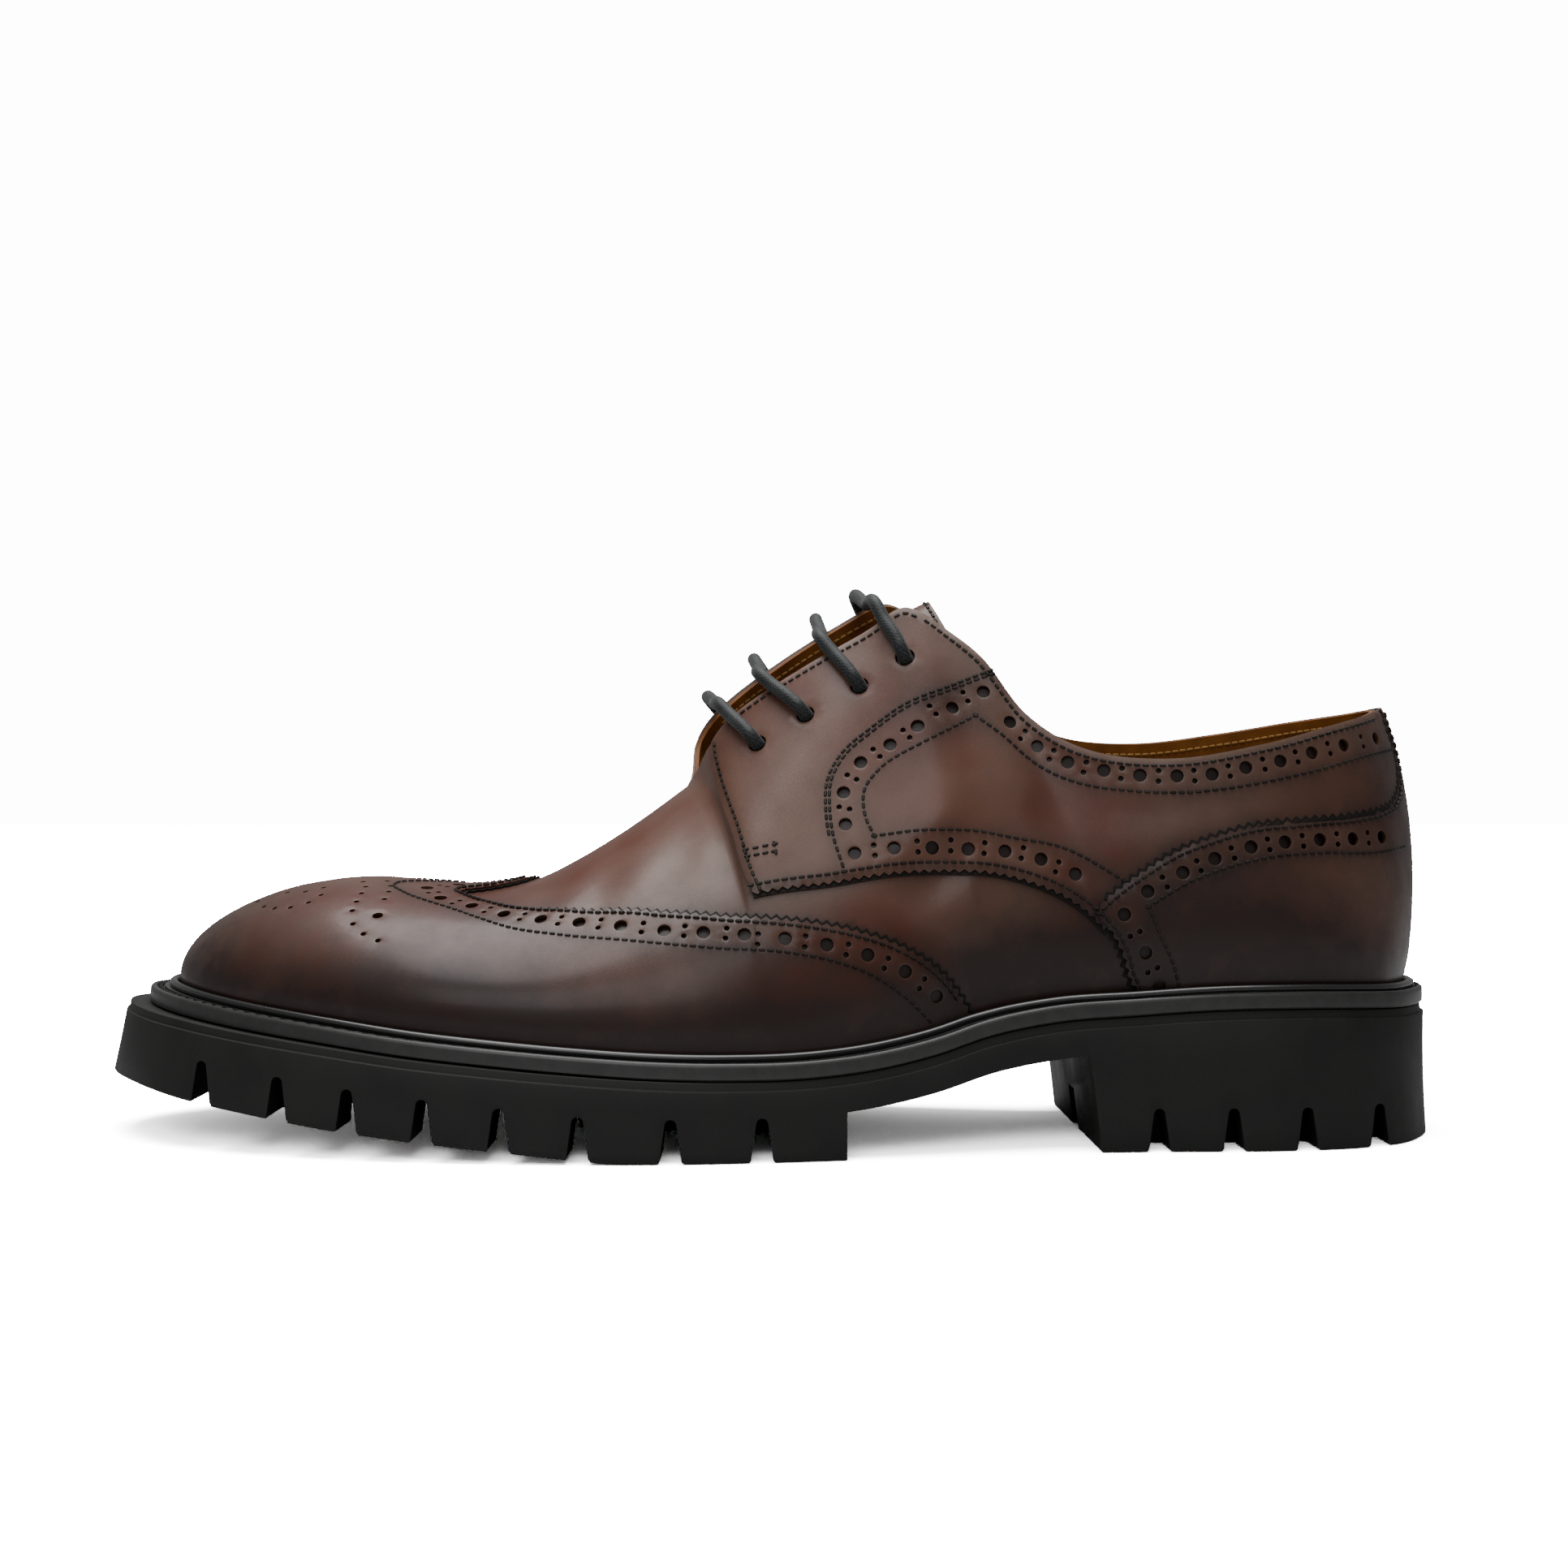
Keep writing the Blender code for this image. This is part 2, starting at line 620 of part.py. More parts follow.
def edge_reach(sections, name):
    rows = column(EDGE, EDGE_COLUMNS, "section")
    folded = np.where(sections > LAST_SECTION, LOOP - sections, sections)
    value = smooth(rows, column(EDGE, EDGE_COLUMNS, name), folded)
    # Towards the middle of the length the inner side stands in closer than the outer
    fade = np.clip(np.minimum(folded, LAST_SECTION - folded) / SIDE_FADE, 0.0, 1.0)
    return value * np.where(sections > LAST_SECTION, 1 - fade * (1 - INNER_EDGE), 1.0)


RING_SECTIONS = np.array(
    sections_between(0, LAST_SECTION) + [LOOP - k for k in reversed(sections_between(0.1, 25.9))]
)


def outline(reach, extra=0.0):
    """The feather line moved out by a reach for each section."""
    feather = last_point(RING_SECTIONS, np.zeros(len(RING_SECTIONS)))
    return feather + outward(feather) * (np.asarray(reach) + extra)[..., None]


def rim_reach():
    return RIM_REACH * edge_reach(RING_SECTIONS, "rim")


def sole_reach():
    return rim_reach() + SHOULDER * edge_reach(RING_SECTIONS, "shoulder")


def ring_solid(rings):
    """Closed body from stacked outlines; its two caps run straight across from side to side."""
    count = len(RING_SECTIONS)
    half = count // 2
    vertices = np.concatenate(rings)
    faces = []
    for ring in range(len(rings) - 1):
        for i in range(count):
            j = (i + 1) % count
            a = ring * count
            b = a + count
            faces.append((a + i, a + j, b + j, b + i))
    for base, turn in ((0, 1), ((len(rings) - 1) * count, -1)):
        for i in range(half):
            corners = [base + i, base + i + 1, base + (count - i - 1) % count, base + (count - i) % count]
            corners = list(dict.fromkeys(corners))
            faces.append(corners[::-turn])
    return vertices, faces


def at_height(points, z):
    placed = points.copy()
    placed[:, 2] = z
    return placed


def prism(profile, near, far):
    """Closed prism along Y from a profile of (x near, x far, z) points."""
    count = len(profile)
    vertices = [(a, near, z) for a, b, z in profile] + [(b, far, z) for a, b, z in profile]
    faces = [tuple(range(count)), tuple(range(2 * count - 1, count - 1, -1))]
    for i in range(count):
        j = (i + 1) % count
        faces.append((i, i + count, j + count, j))
    return vertices, faces


def joined(solids):
    vertices, faces = [], []
    for some_vertices, some_faces in solids:
        base = len(vertices)
        vertices += list(some_vertices)
        faces += [tuple(base + k for k in face) for face in some_faces]
    return vertices, faces


def outward_faces(made):
    mesh = bmesh.new()
    mesh.from_mesh(made.data)
    bmesh.ops.recalc_face_normals(mesh, faces=mesh.faces)
    mesh.to_mesh(made.data)
    mesh.free()


def sole_side(x, inner):
    """Half width of the sole's top edge at a place along it."""
    edge = outline(sole_reach())
    half = len(RING_SECTIONS) // 2
    points = edge[half:] if inner else edge[: half + 1]
    points = points[np.argsort(points[:, 0])]
    return float(np.interp(x, points[:, 0], points[:, 1]))


def notch_profile(x, floor):
    """Slot that narrows upwards to a round root."""
    rise = LUG_HEIGHT - NOTCH_ROOT / 2
    arc = [math.pi * k / NOTCH_STEPS for k in range(NOTCH_STEPS + 1)]
    points = [(x + NOTCH_ROOT / 2 * math.cos(a), floor + rise + NOTCH_ROOT / 2 * math.sin(a)) for a in arc]
    drop = floor + SOLE_THICKNESS / 2
    points.append((x - NOTCH_MOUTH / 2, floor))
    points.append((x - NOTCH_MOUTH / 2, floor - drop))
    points.append((x + NOTCH_MOUTH / 2, floor - drop))
    points.append((x + NOTCH_MOUTH / 2, floor))
    return [(a, a, z) for a, z in points]


def notch_solids():
    beyond = TOE_REACH
    solids = []
    for along in TREAD_NOTCHES:
        x = FRONT_X + along * LAST_LENGTH
        for inner in (False, True):
            edge = sole_side(x, inner)
            hand = 1 if inner else -1
            inside = edge - hand * (LUG_DEPTH + 2 * GAP)
            solids.append(prism(notch_profile(x, float(tread_height(x))), inside, edge + hand * beyond))
    for along in HEEL_NOTCHES:
        x = HEEL_BACK - HEEL_LENGTH * (1 - along)
        for inner in (False, True):
            edge = sole_side(x, inner)
            hand = 1 if inner else -1
            depth = min(HEEL_NOTCH_DEPTH, abs(edge) - CHANNEL_WIDTH)
            solids.append(prism(notch_profile(x, 0.0), edge - hand * depth, edge + hand * beyond))
    return solids


HEEL_BACK = FRONT_X + LAST_LENGTH + HEEL_REACH
BREAST_X = HEEL_BACK - HEEL_LENGTH
TREAD_BACK = FRONT_X - TOE_REACH + TREAD_LENGTH


def under_profile():
    """Everything below tread, waist and heel, as a profile that skews with the breast."""
    margin = TOE_REACH
    start = FRONT_X - 2 * TOE_REACH
    flat = FRONT_X + TREAD[-1][0] * LAST_LENGTH
    tread = np.linspace(FRONT_X - TOE_REACH, flat, TREAD_STEPS)
    waist = np.linspace(TREAD_BACK, BREAST_X, WAIST_STEPS)
    points = [(start, start, -2 * margin), (start, start, float(tread_height(start)))]
    points += [(x, x, float(tread_height(x))) for x in tread]
    points.append((TREAD_BACK, TREAD_BACK, 0.0))
    for x in waist:
        skew = HEEL_SKEW * (x - TREAD_BACK) / (BREAST_X - TREAD_BACK)
        lean = -NOTCH_ROOT / 2 if x == waist[-1] else 0.0
        points.append((x + skew + lean, x - skew + lean, float(seat_height(x)) - WAIST_THICKNESS))
    points.append((BREAST_X + HEEL_SKEW + NOTCH_ROOT / 2, BREAST_X - HEEL_SKEW + NOTCH_ROOT / 2, 0.0))
    end = HEEL_BACK + margin
    points += [(end, end, 0.0), (end, end, -2 * margin)]
    return points


def recess_solid():
    """Hollow between the perimeter lugs of the forefoot."""
    first = FRONT_X + LUG_DEPTH - TOE_REACH / 2
    last = TREAD_BACK - LUG_DEPTH / 2
    vertices, faces = [], []
    places = np.linspace(first, last, RECESS_STEPS + 1)
    for x in places:
        low = sole_side(x, False) + LUG_DEPTH
        high = sole_side(x, True) - LUG_DEPTH
        roof = float(tread_height(x)) + RECESS_HEIGHT
        vertices += [(x, low, -TOE_REACH), (x, high, -TOE_REACH), (x, high, roof), (x, low, roof)]
    for i in range(len(places) - 1):
        for j in range(4):
            k = (j + 1) % 4
            faces.append((4 * i + j, 4 * i + k, 4 * i + 4 + k, 4 * i + 4 + j))
    end = 4 * (len(places) - 1)
    faces += [(3, 2, 1, 0), (end, end + 1, end + 2, end + 3)]
    return vertices, faces


def centre_lugs():
    """Short blocks that stand in the recess behind each pair of notches."""
    solids = []
    for along in TREAD_NOTCHES[1:]:
        x = FRONT_X + along * LAST_LENGTH
        middle = (sole_side(x, False) + sole_side(x, True)) / 2
        floor = float(tread_height(x)) + GAP
        a, b = x - CENTRE_LUG_LENGTH / 2, x + CENTRE_LUG_LENGTH / 2
        taper = CENTRE_LUG_LENGTH / 6
        roof = floor + RECESS_HEIGHT + WAIST_THICKNESS / 2
        profile = [(a, a, roof), (b, b, roof), (b - taper, b - taper, floor), (a + taper, a + taper, floor)]
        half = CENTRE_LUG_WIDTH / 2
        solids.append(prism(profile, middle - half, middle + half))
    return solids


def build_outsole():
    reach = sole_reach()
    flare = FLARE * edge_reach(RING_SECTIONS, "flare")
    top = outline(reach)
    seat = seat_height(top[:, 0])
    foot = -2 * SIDE_STEP
    stretch = (seat - foot) / (seat - tread_height(top[:, 0]))
    rings = [
        at_height(outline(reach, flare * stretch), foot),
        at_height(top, seat - 2 * SIDE_STEP),
        at_height(outline(reach, -SIDE_STEP * LEDGE), seat - SIDE_STEP),
        at_height(outline(reach, -SIDE_STEP), seat),
    ]
    made = new_object("outsole", *ring_solid(rings), BLACK_RUBBER, 0.72)
    outward_faces(made)
    wide = 2 * BALL_WIDTH
    under = helper("under_cutter", *prism(under_profile(), -wide, wide))
    recess = helper("recess_cutter", *recess_solid())
    notches = helper("notch_cutter", *joined(notch_solids()))
    lugs = helper("centre_lug_blocks", *joined(centre_lugs()))
    channel_end = HEEL_BACK - HEEL_LENGTH * CHANNEL_STOP
    channel = [
        (BREAST_X - LUG_DEPTH, BREAST_X - LUG_DEPTH, -LUG_HEIGHT),
        (channel_end, channel_end, -LUG_HEIGHT),
        (channel_end, channel_end, LUG_HEIGHT),
        (BREAST_X - LUG_DEPTH, BREAST_X - LUG_DEPTH, LUG_HEIGHT),
    ]
    channel = helper("channel_cutter", *prism(channel, -CHANNEL_WIDTH / 2, CHANNEL_WIDTH / 2))
    for cutter in (under, recess, notches, lugs, channel):
        outward_faces(cutter)
    for cutter in (under, recess, notches, channel):
        boolean(made, cutter, "DIFFERENCE", "MANIFOLD")
    boolean(made, lugs, "UNION", "MANIFOLD")


def build_welt():
    """Strip round the whole sole with its bead turned up against the upper."""
    count = len(RING_SECTIONS)
    rim = rim_reach()
    inside = np.full(count, BEAD_CLEARANCE)
    low = seat_height(outline(rim)[:, 0]) + GAP
    top = low + WELT_THICKNESS
    bead = inside + BEAD_WIDTH
    section = [
        (inside, low),
        (rim, low),
        (rim, top),
        (bead, top - GAP),
        (bead - GAP, top + BEAD_HEIGHT * BEAD_ROUND),
        (inside, top + BEAD_HEIGHT),
    ]
    vertices = np.concatenate([at_height(outline(reach), z) for reach, z in section])
    faces = []
    for ring in range(len(section)):
        following = (ring + 1) % len(section)
        for i in range(count):
            j = (i + 1) % count
            faces.append((ring * count + i, ring * count + j, following * count + j, following * count + i))
    made = new_object("welt", vertices, faces, (0.030, 0.030, 0.029), 0.5)
    outward_faces(made)
    smooth_faces(made, 35.0)


def build_insole():
    inside = np.full(len(RING_SECTIONS), -(WALL + 2 * GAP))
    edge = outline(inside)
    seat = seat_height(edge[:, 0])
    rings = [at_height(edge, seat + GAP), at_height(edge, seat + GAP + INSOLE_THICKNESS)]
    made = new_object("insole", *ring_solid(rings), (0.42, 0.20, 0.09), 0.6)
    outward_faces(made)


def tongue_row(section):
    """Points across the tongue, tucked under both quarters and arched up to its middle line."""
    depth = WALL + TONGUE_CLEARANCE
    a, d = [
        last_point(k, TONGUE_EDGE) - depth * last_normal(k, TONGUE_EDGE) for k in (section, LOOP - section)
    ]
    sections = column(TONGUE_MIDDLE, TONGUE_COLUMNS, "section")
    along, rise, arch = [
        float(smooth(sections, column(TONGUE_MIDDLE, TONGUE_COLUMNS, name), section))
        for name in TONGUE_COLUMNS[1:]
    ]
    x = FRONT_X + LAST_LENGTH * along
    y = (last_point(section, 1.0)[1] + last_point(LOOP - section, 1.0)[1]) / 2
    middle = np.array([x, y, float(seat_height(x)) + INSTEP_HEIGHT * rise])
    centre = middle * 4 / 3 - (a + d) / 6
    spread = (a - d) / 2 * arch
    b, c = centre + spread, centre - spread
    t = np.linspace(0.0, 1.0, TONGUE_ACROSS + 1)[:, None]
    return a * (1 - t) ** 3 + 3 * b * t * (1 - t) ** 2 + 3 * c * t * t * (1 - t) + d * t**3


def build_tongue():
    vertices = np.concatenate([tongue_row(k) for k in TONGUE_ROWS])
    wide = TONGUE_ACROSS + 1
    faces = []
    for i in range(len(TONGUE_ROWS) - 1):
        for j in range(TONGUE_ACROSS):
            a = i * wide + j
            faces.append((a, a + wide, a + wide + 1, a + 1))
    made = new_object("tongue", vertices, faces, (0.10, 0.05, 0.035), 0.45)
    thicken(made, TONGUE_THICKNESS, -1.0)
    smooth_faces(made)


def eyelet_share(section):
    """Share of the column that lies the inset below the facing's edge."""
    ups = np.linspace(0.5, 1.0, 101)
    points = last_point(np.full(len(ups), section), ups)
    lengths = np.linalg.norm(np.diff(points, axis=0), axis=1)
    from_edge = np.concatenate([np.cumsum(lengths[::-1])[::-1], [0.0]])
    return float(np.interp(-EYELET_INSET, -from_edge, ups))


def eyelet_frame(section):
    up = eyelet_share(section)
    return last_point(section, up), last_normal(section, up)


def eyelet_cutters():
    """Round punches, one for each eyelet, square to the leather."""
    solids = []
    for section in column(EYELETS, EYELET_COLUMNS, "section"):
        for k in (section, LOOP - section):
            centre, normal = eyelet_frame(k)
            side = np.cross(normal, [0.0, 0.0, 1.0])
            side = side / np.linalg.norm(side)
            other = np.cross(normal, side)
            ring = []
            for depth in (-3 * WALL, 3 * WALL):
                for step in range(EYELET_SIDES):
                    angle = 2 * math.pi * step / EYELET_SIDES
                    spoke = math.cos(angle) * side + math.sin(angle) * other
                    ring.append(centre + normal * depth + spoke * EYELET_DIAMETER / 2)
            count = EYELET_SIDES
            faces = [tuple(range(count)), tuple(range(2 * count - 1, count - 1, -1))]
            faces += [(i, i + count, (i + 1) % count + count, (i + 1) % count) for i in range(count)]
            solids.append((ring, faces))
    cutter = helper("eyelet_cutter", *joined(solids))
    outward_faces(cutter)
    return cutter


def lace_path(eyelet):
    """Up through one eyelet, square over the facing's edge and down through the other."""
    lift = OVERLAY + GAP + LACE_DIAMETER / 2 + LACE_CLEARANCE
    bend = LACE_DIAMETER * LACE_BEND
    halves = []
    section = eyelet[0]
    for k, lead in zip((section, LOOP - section), eyelet[1:]):
        centre, normal = eyelet_frame(k)
        edge = last_point(k + lead, 1.0)
        away = edge - centre
        away = away - normal * np.dot(away, normal)
        away = away / np.linalg.norm(away)
        over = last_normal(k + lead, 1.0) * lift
        points = [centre - normal * WALL * LACE_ROOT]
        points += [centre + normal * lift * height + away * bend * reach for height, reach in LACE_CLIMB]
        points += [edge + over * height + away * lift * reach for height, reach in LACE_CREST]
        halves.append(points)
    near, far = halves
    middle = (near[-1] + far[-1]) / 2 + np.array([0.0, 0.0, LACE_ARCH])
    return np.array(near + [middle] + far[::-1])


def smooth_path(points, count):
    lengths = np.concatenate([[0.0], np.cumsum(np.linalg.norm(np.diff(points, axis=0), axis=1))])
    at = np.linspace(0.0, lengths[-1], count)
    return np.stack([smooth(lengths, points[:, axis], at) for axis in range(3)], 1)


def build_lace(number, eyelet):
    name = f"lace_bar_{number}"
    points = smooth_path(lace_path(eyelet), LACE_STEPS)
    curve = bpy.data.curves.new(name, "CURVE")
    curve.dimensions = "3D"
    curve.bevel_depth = LACE_DIAMETER / 2
    curve.bevel_resolution = 2
    curve.use_fill_caps = True
    spline = curve.splines.new("POLY")
    spline.points.add(len(points) - 1)
    for place, point in zip(spline.points, points):
        place.co = (*point, 1.0)
    made = bpy.data.objects.new(name, curve)
    bpy.context.scene.collection.objects.link(made)
    material = bpy.data.materials.new(name)
    material.use_nodes = True
    shader = material.node_tree.nodes["Principled BSDF"]
    shader.inputs["Base Color"].default_value = (0.03, 0.036, 0.038, 1.0)
    shader.inputs["Roughness"].default_value = 0.55
    curve.materials.append(material)


def main():
    for old in list(bpy.data.objects):
        bpy.data.objects.remove(old, do_unlink=True)
    upper = build_upper()
    build_wing_cap()
    quarters = [build_quarter("quarter_outer", False), build_quarter("quarter_inner", True)]
    build_counter()
    cutter = eyelet_cutters()
    for made in [upper] + quarters:
        boolean(made, cutter, "DIFFERENCE")
    build_outsole()
    build_welt()
    build_insole()
    build_tongue()
    for number, eyelet in enumerate(EYELETS, 1):
        build_lace(number, eyelet)


main()
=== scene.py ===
# Wing-cap derby in hand-burnished calf on a black lug sole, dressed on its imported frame
import math

import bmesh
import bpy
import numpy as np
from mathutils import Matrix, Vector
from mathutils.bvhtree import BVHTree
from mathutils.geometry import delaunay_2d_cdt
from mathutils.kdtree import KDTree


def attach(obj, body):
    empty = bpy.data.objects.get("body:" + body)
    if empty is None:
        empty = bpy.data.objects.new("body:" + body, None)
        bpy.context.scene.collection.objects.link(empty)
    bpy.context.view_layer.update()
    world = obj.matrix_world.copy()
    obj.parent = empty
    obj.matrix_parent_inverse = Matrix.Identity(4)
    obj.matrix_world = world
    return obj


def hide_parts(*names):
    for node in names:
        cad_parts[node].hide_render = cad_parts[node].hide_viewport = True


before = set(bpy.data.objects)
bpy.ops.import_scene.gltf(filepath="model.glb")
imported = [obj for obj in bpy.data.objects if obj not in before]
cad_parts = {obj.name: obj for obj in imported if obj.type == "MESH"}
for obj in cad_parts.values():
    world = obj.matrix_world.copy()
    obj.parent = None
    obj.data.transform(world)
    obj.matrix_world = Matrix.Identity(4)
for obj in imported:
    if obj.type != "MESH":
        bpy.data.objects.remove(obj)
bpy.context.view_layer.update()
mm = 0.001
print("frame loaded")

# The photo's own view: level, square on to the outer side
view = {
    "pixels": 1932,
    "middle": 966,
    "focalPixels": 2832,
    "place": (0.0042, -0.550, 0.0817),
    "sensor": 36.0,
}

# Sizes of the last and the sole under the leather, in metres
last = {
    "length": 0.290,
    "ball": 0.0955,
    "heel": 0.0654,
    "toe": 0.0305,
    "instep": 0.1010,
    "collar": 0.0690,
    "soleThickness": 0.0172,
    "toeLift": 0.0120,
    "heelLift": 0.0140,
    "toeReach": 0.0173,
    "heelReach": 0.0067,
    "featherRise": 0.0057,
    "gap": 0.0003,
    "skirt": 0.06,
}
frontX = last["toeReach"] - (last["toeReach"] + last["length"] + last["heelReach"]) / 2
sideCount = 26   # sections from toe to heel on each side
throat = 12      # section of the front edge of the facings
loop = 2 * sideCount

# Feather line: place along the last, the width it follows, outer and inner half
featherRows = (
    (0.000, "ball", -0.063, 0.063),
    (0.005, "ball", 0.021, 0.136),
    (0.018, "ball", 0.105, 0.209),
    (0.040, "ball", 0.190, 0.284),
    (0.078, "ball", 0.281, 0.364),
    (0.130, "ball", 0.366, 0.428),
    (0.192, "ball", 0.432, 0.473),
    (0.254, "ball", 0.477, 0.494),
    (0.316, "ball", 0.503, 0.496),
    (0.375, "ball", 0.510, 0.480),
    (0.430, "ball", 0.503, 0.450),
    (0.471, "ball", 0.485, 0.414),
    (0.502, "ball", 0.466, 0.383),
    (0.537, "ball", 0.443, 0.354),
    (0.578, "ball", 0.415, 0.328),
    (0.620, "ball", 0.388, 0.314),
    (0.640, "ball", 0.376, 0.310),
    (0.658, "ball", 0.369, 0.309),
    (0.678, "heel", 0.529, 0.453),
    (0.706, "heel", 0.520, 0.459),
    (0.740, "heel", 0.514, 0.468),
    (0.785, "heel", 0.509, 0.483),
    (0.837, "heel", 0.505, 0.495),
    (0.889, "heel", 0.486, 0.483),
    (0.937, "heel", 0.425, 0.425),
    (0.975, "heel", 0.298, 0.298),
    (1.000, "heel", 0.000, 0.000),
)
# Ridge, then facing edge and topline of each side: along, width, half, height, rise
ridgeRows = (
    (0.096, "ball", -0.063, "toe", 0.995),
    (0.098, "ball", -0.062, "toe", 1.002),
    (0.104, "ball", -0.060, "toe", 1.018),
    (0.116, "ball", -0.058, "toe", 1.050),
    (0.137, "ball", -0.055, "toe", 1.098),
    (0.166, "ball", -0.052, "toe", 1.138),
    (0.204, "ball", -0.049, "toe", 1.150),
    (0.246, "ball", -0.046, "toe", 1.172),
    (0.289, "ball", -0.042, "toe", 1.272),
    (0.330, "ball", -0.037, "instep", 0.450),
    (0.375, "ball", -0.031, "instep", 0.540),
    (0.416, "ball", -0.021, "instep", 0.631),
)
outerRows = ridgeRows + (
    (0.437, "ball", 0.090, "instep", 0.733),
    (0.466, "ball", 0.110, "instep", 0.815),
    (0.516, "ball", 0.126, "instep", 0.906),
    (0.564, "ball", 0.136, "instep", 0.971),
    (0.587, "ball", 0.141, "instep", 1.007),
    (0.601, "ball", 0.147, "instep", 0.998),
    (0.623, "ball", 0.162, "instep", 0.941),
    (0.654, "ball", 0.199, "instep", 0.840),
    (0.689, "heel", 0.360, "instep", 0.688),
    (0.737, "heel", 0.421, "collar", 0.867),
    (0.802, "heel", 0.443, "collar", 0.824),
    (0.871, "heel", 0.417, "collar", 0.861),
    (0.927, "heel", 0.333, "collar", 0.925),
    (0.963, "heel", 0.196, "collar", 0.970),
    (0.983, "heel", 0.000, "collar", 1.000),
)
innerRows = ridgeRows + (
    (0.423, "ball", 0.105, "instep", 0.741),
    (0.451, "ball", 0.115, "instep", 0.838),
    (0.501, "ball", 0.125, "instep", 0.945),
    (0.551, "ball", 0.131, "instep", 1.023),
    (0.573, "ball", 0.136, "instep", 1.047),
    (0.590, "ball", 0.141, "instep", 1.037),
    (0.616, "ball", 0.162, "instep", 0.977),
    (0.649, "ball", 0.199, "instep", 0.874),
    (0.687, "heel", 0.352, "instep", 0.723),
    (0.737, "heel", 0.405, "collar", 0.928),
    (0.802, "heel", 0.428, "collar", 0.889),
    (0.871, "heel", 0.410, "collar", 0.913),
    (0.927, "heel", 0.333, "collar", 0.954),
    (0.963, "heel", 0.196, "collar", 0.982),
    (0.983, "heel", 0.000, "collar", 1.000),
)
# Fullness: swell and rise of the lower handle, pull, swell and drop of the upper one
fullnessRows = (
    (0.03, 0.50, 0.47, 0.00, 0.00),
    (0.04, 0.50, 0.47, 0.00, 0.00),
    (0.05, 0.51, 0.48, 0.00, 0.00),
    (0.07, 0.52, 0.50, 0.00, 0.00),
    (0.09, 0.54, 0.52, 0.00, 0.00),
    (0.10, 0.54, 0.54, 0.00, 0.00),
    (0.11, 0.53, 0.55, 0.00, 0.00),
    (0.11, 0.52, 0.55, 0.00, 0.00),
    (0.11, 0.50, 0.54, 0.00, 0.00),
    (0.10, 0.47, 0.52, 0.00, 0.00),
    (0.08, 0.44, 0.49, 0.00, 0.00),
    (0.07, 0.42, 0.46, 0.00, 0.00),
    (0.06, 0.42, 0.42, 0.00, 0.17),
    (0.06, 0.42, 0.42, 0.00, 0.18),
    (0.06, 0.42, 0.42, 0.00, 0.18),
    (0.06, 0.42, 0.42, 0.00, 0.19),
    (0.06, 0.42, 0.42, 0.00, 0.20),
    (0.06, 0.42, 0.41, 0.00, 0.21),
    (0.06, 0.41, 0.36, 0.01, 0.23),
    (0.06, 0.39, 0.28, 0.02, 0.25),
    (0.06, 0.37, 0.18, 0.02, 0.28),
    (0.07, 0.35, 0.10, 0.03, 0.31),
    (0.07, 0.33, 0.05, 0.04, 0.33),
    (0.07, 0.32, 0.03, 0.05, 0.34),
    (0.06, 0.30, 0.02, 0.07, 0.35),
    (0.06, 0.28, 0.01, 0.09, 0.36),
    (0.06, 0.26, 0.00, 0.11, 0.36),
)
# Seat of the sole: along, toe lift, heel lift
seatRows = (
    (-0.070, 1.17, 0.00),
    (-0.004, 1.00, 0.00),
    (0.068, 0.79, 0.00),
    (0.141, 0.59, 0.00),
    (0.207, 0.40, 0.00),
    (0.271, 0.26, 0.00),
    (0.333, 0.14, 0.00),
    (0.396, 0.04, 0.00),
    (0.456, 0.00, 0.00),
    (0.516, 0.00, 0.02),
    (0.566, 0.00, 0.13),
    (0.611, 0.00, 0.33),
    (0.654, 0.00, 0.61),
    (0.706, 0.00, 0.81),
    (0.768, 0.00, 0.90),
    (0.830, 0.00, 0.98),
    (0.895, 0.00, 1.00),
    (1.002, 0.00, 0.94),
    (1.030, 0.00, 0.93),
)
# Tread under the toe: along, share of the toe spring
treadRows = (
    (-0.070, 1.05),
    (-0.036, 1.00),
    (0.030, 0.785),
    (0.099, 0.600),
    (0.147, 0.464),
    (0.206, 0.330),
    (0.268, 0.200),
    (0.320, 0.100),
    (0.347, 0.040),
    (0.371, 0.000),
)
# Sole edge: section, rim, shoulder, flare
edgeRows = (
    (0, 1.00, 1.00, 1.00),
    (2, 0.96, 0.95, 0.94),
    (4, 0.91, 0.80, 0.65),
    (6, 0.87, 0.55, 0.35),
    (8, 0.82, 0.30, 0.12),
    (10, 0.86, 0.16, 0.10),
    (12, 0.97, 0.09, 0.09),
    (15, 1.00, 0.06, 0.06),
    (18, 0.90, 0.05, 0.06),
    (21, 0.67, 0.04, 0.12),
    (24, 0.64, 0.04, 0.20),
    (26, 0.69, 0.04, 0.20),
)


def column(rows, k):
    return np.array([row[k] for row in rows], float)


def unit(vectors):
    return vectors / np.linalg.norm(vectors, axis=-1)[..., None]


def runOf(points):
    # length walked along a line up to each of its points
    return np.concatenate([[0.0], np.cumsum(np.linalg.norm(np.diff(points, axis=0), axis=1))])


def pointsAt(at, points, places):
    return np.stack([np.interp(places, at, values) for values in points.T], 1)


def curveThrough(xs, ys, x):
    # soft curve through a table's rows, level with the rows beside each
    xs, ys, x = np.asarray(xs, float), np.asarray(ys, float), np.asarray(x, float)
    slopes = np.gradient(ys, xs)
    i = np.clip(np.searchsorted(xs, x, side="right") - 1, 0, len(xs) - 2)
    width = xs[i + 1] - xs[i]
    f = np.clip((x - xs[i]) / width, 0.0, 1.0)
    return (
        ys[i] * (1 + 2 * f) * (1 - f) ** 2
        + ys[i + 1] * f * f * (3 - 2 * f)
        + slopes[i] * width * f * (1 - f) ** 2
        - slopes[i + 1] * width * f * f * (1 - f)
    )


def smoothAt(at, points, places):
    return np.stack([curveThrough(at, values, places) for values in points.T], 1)


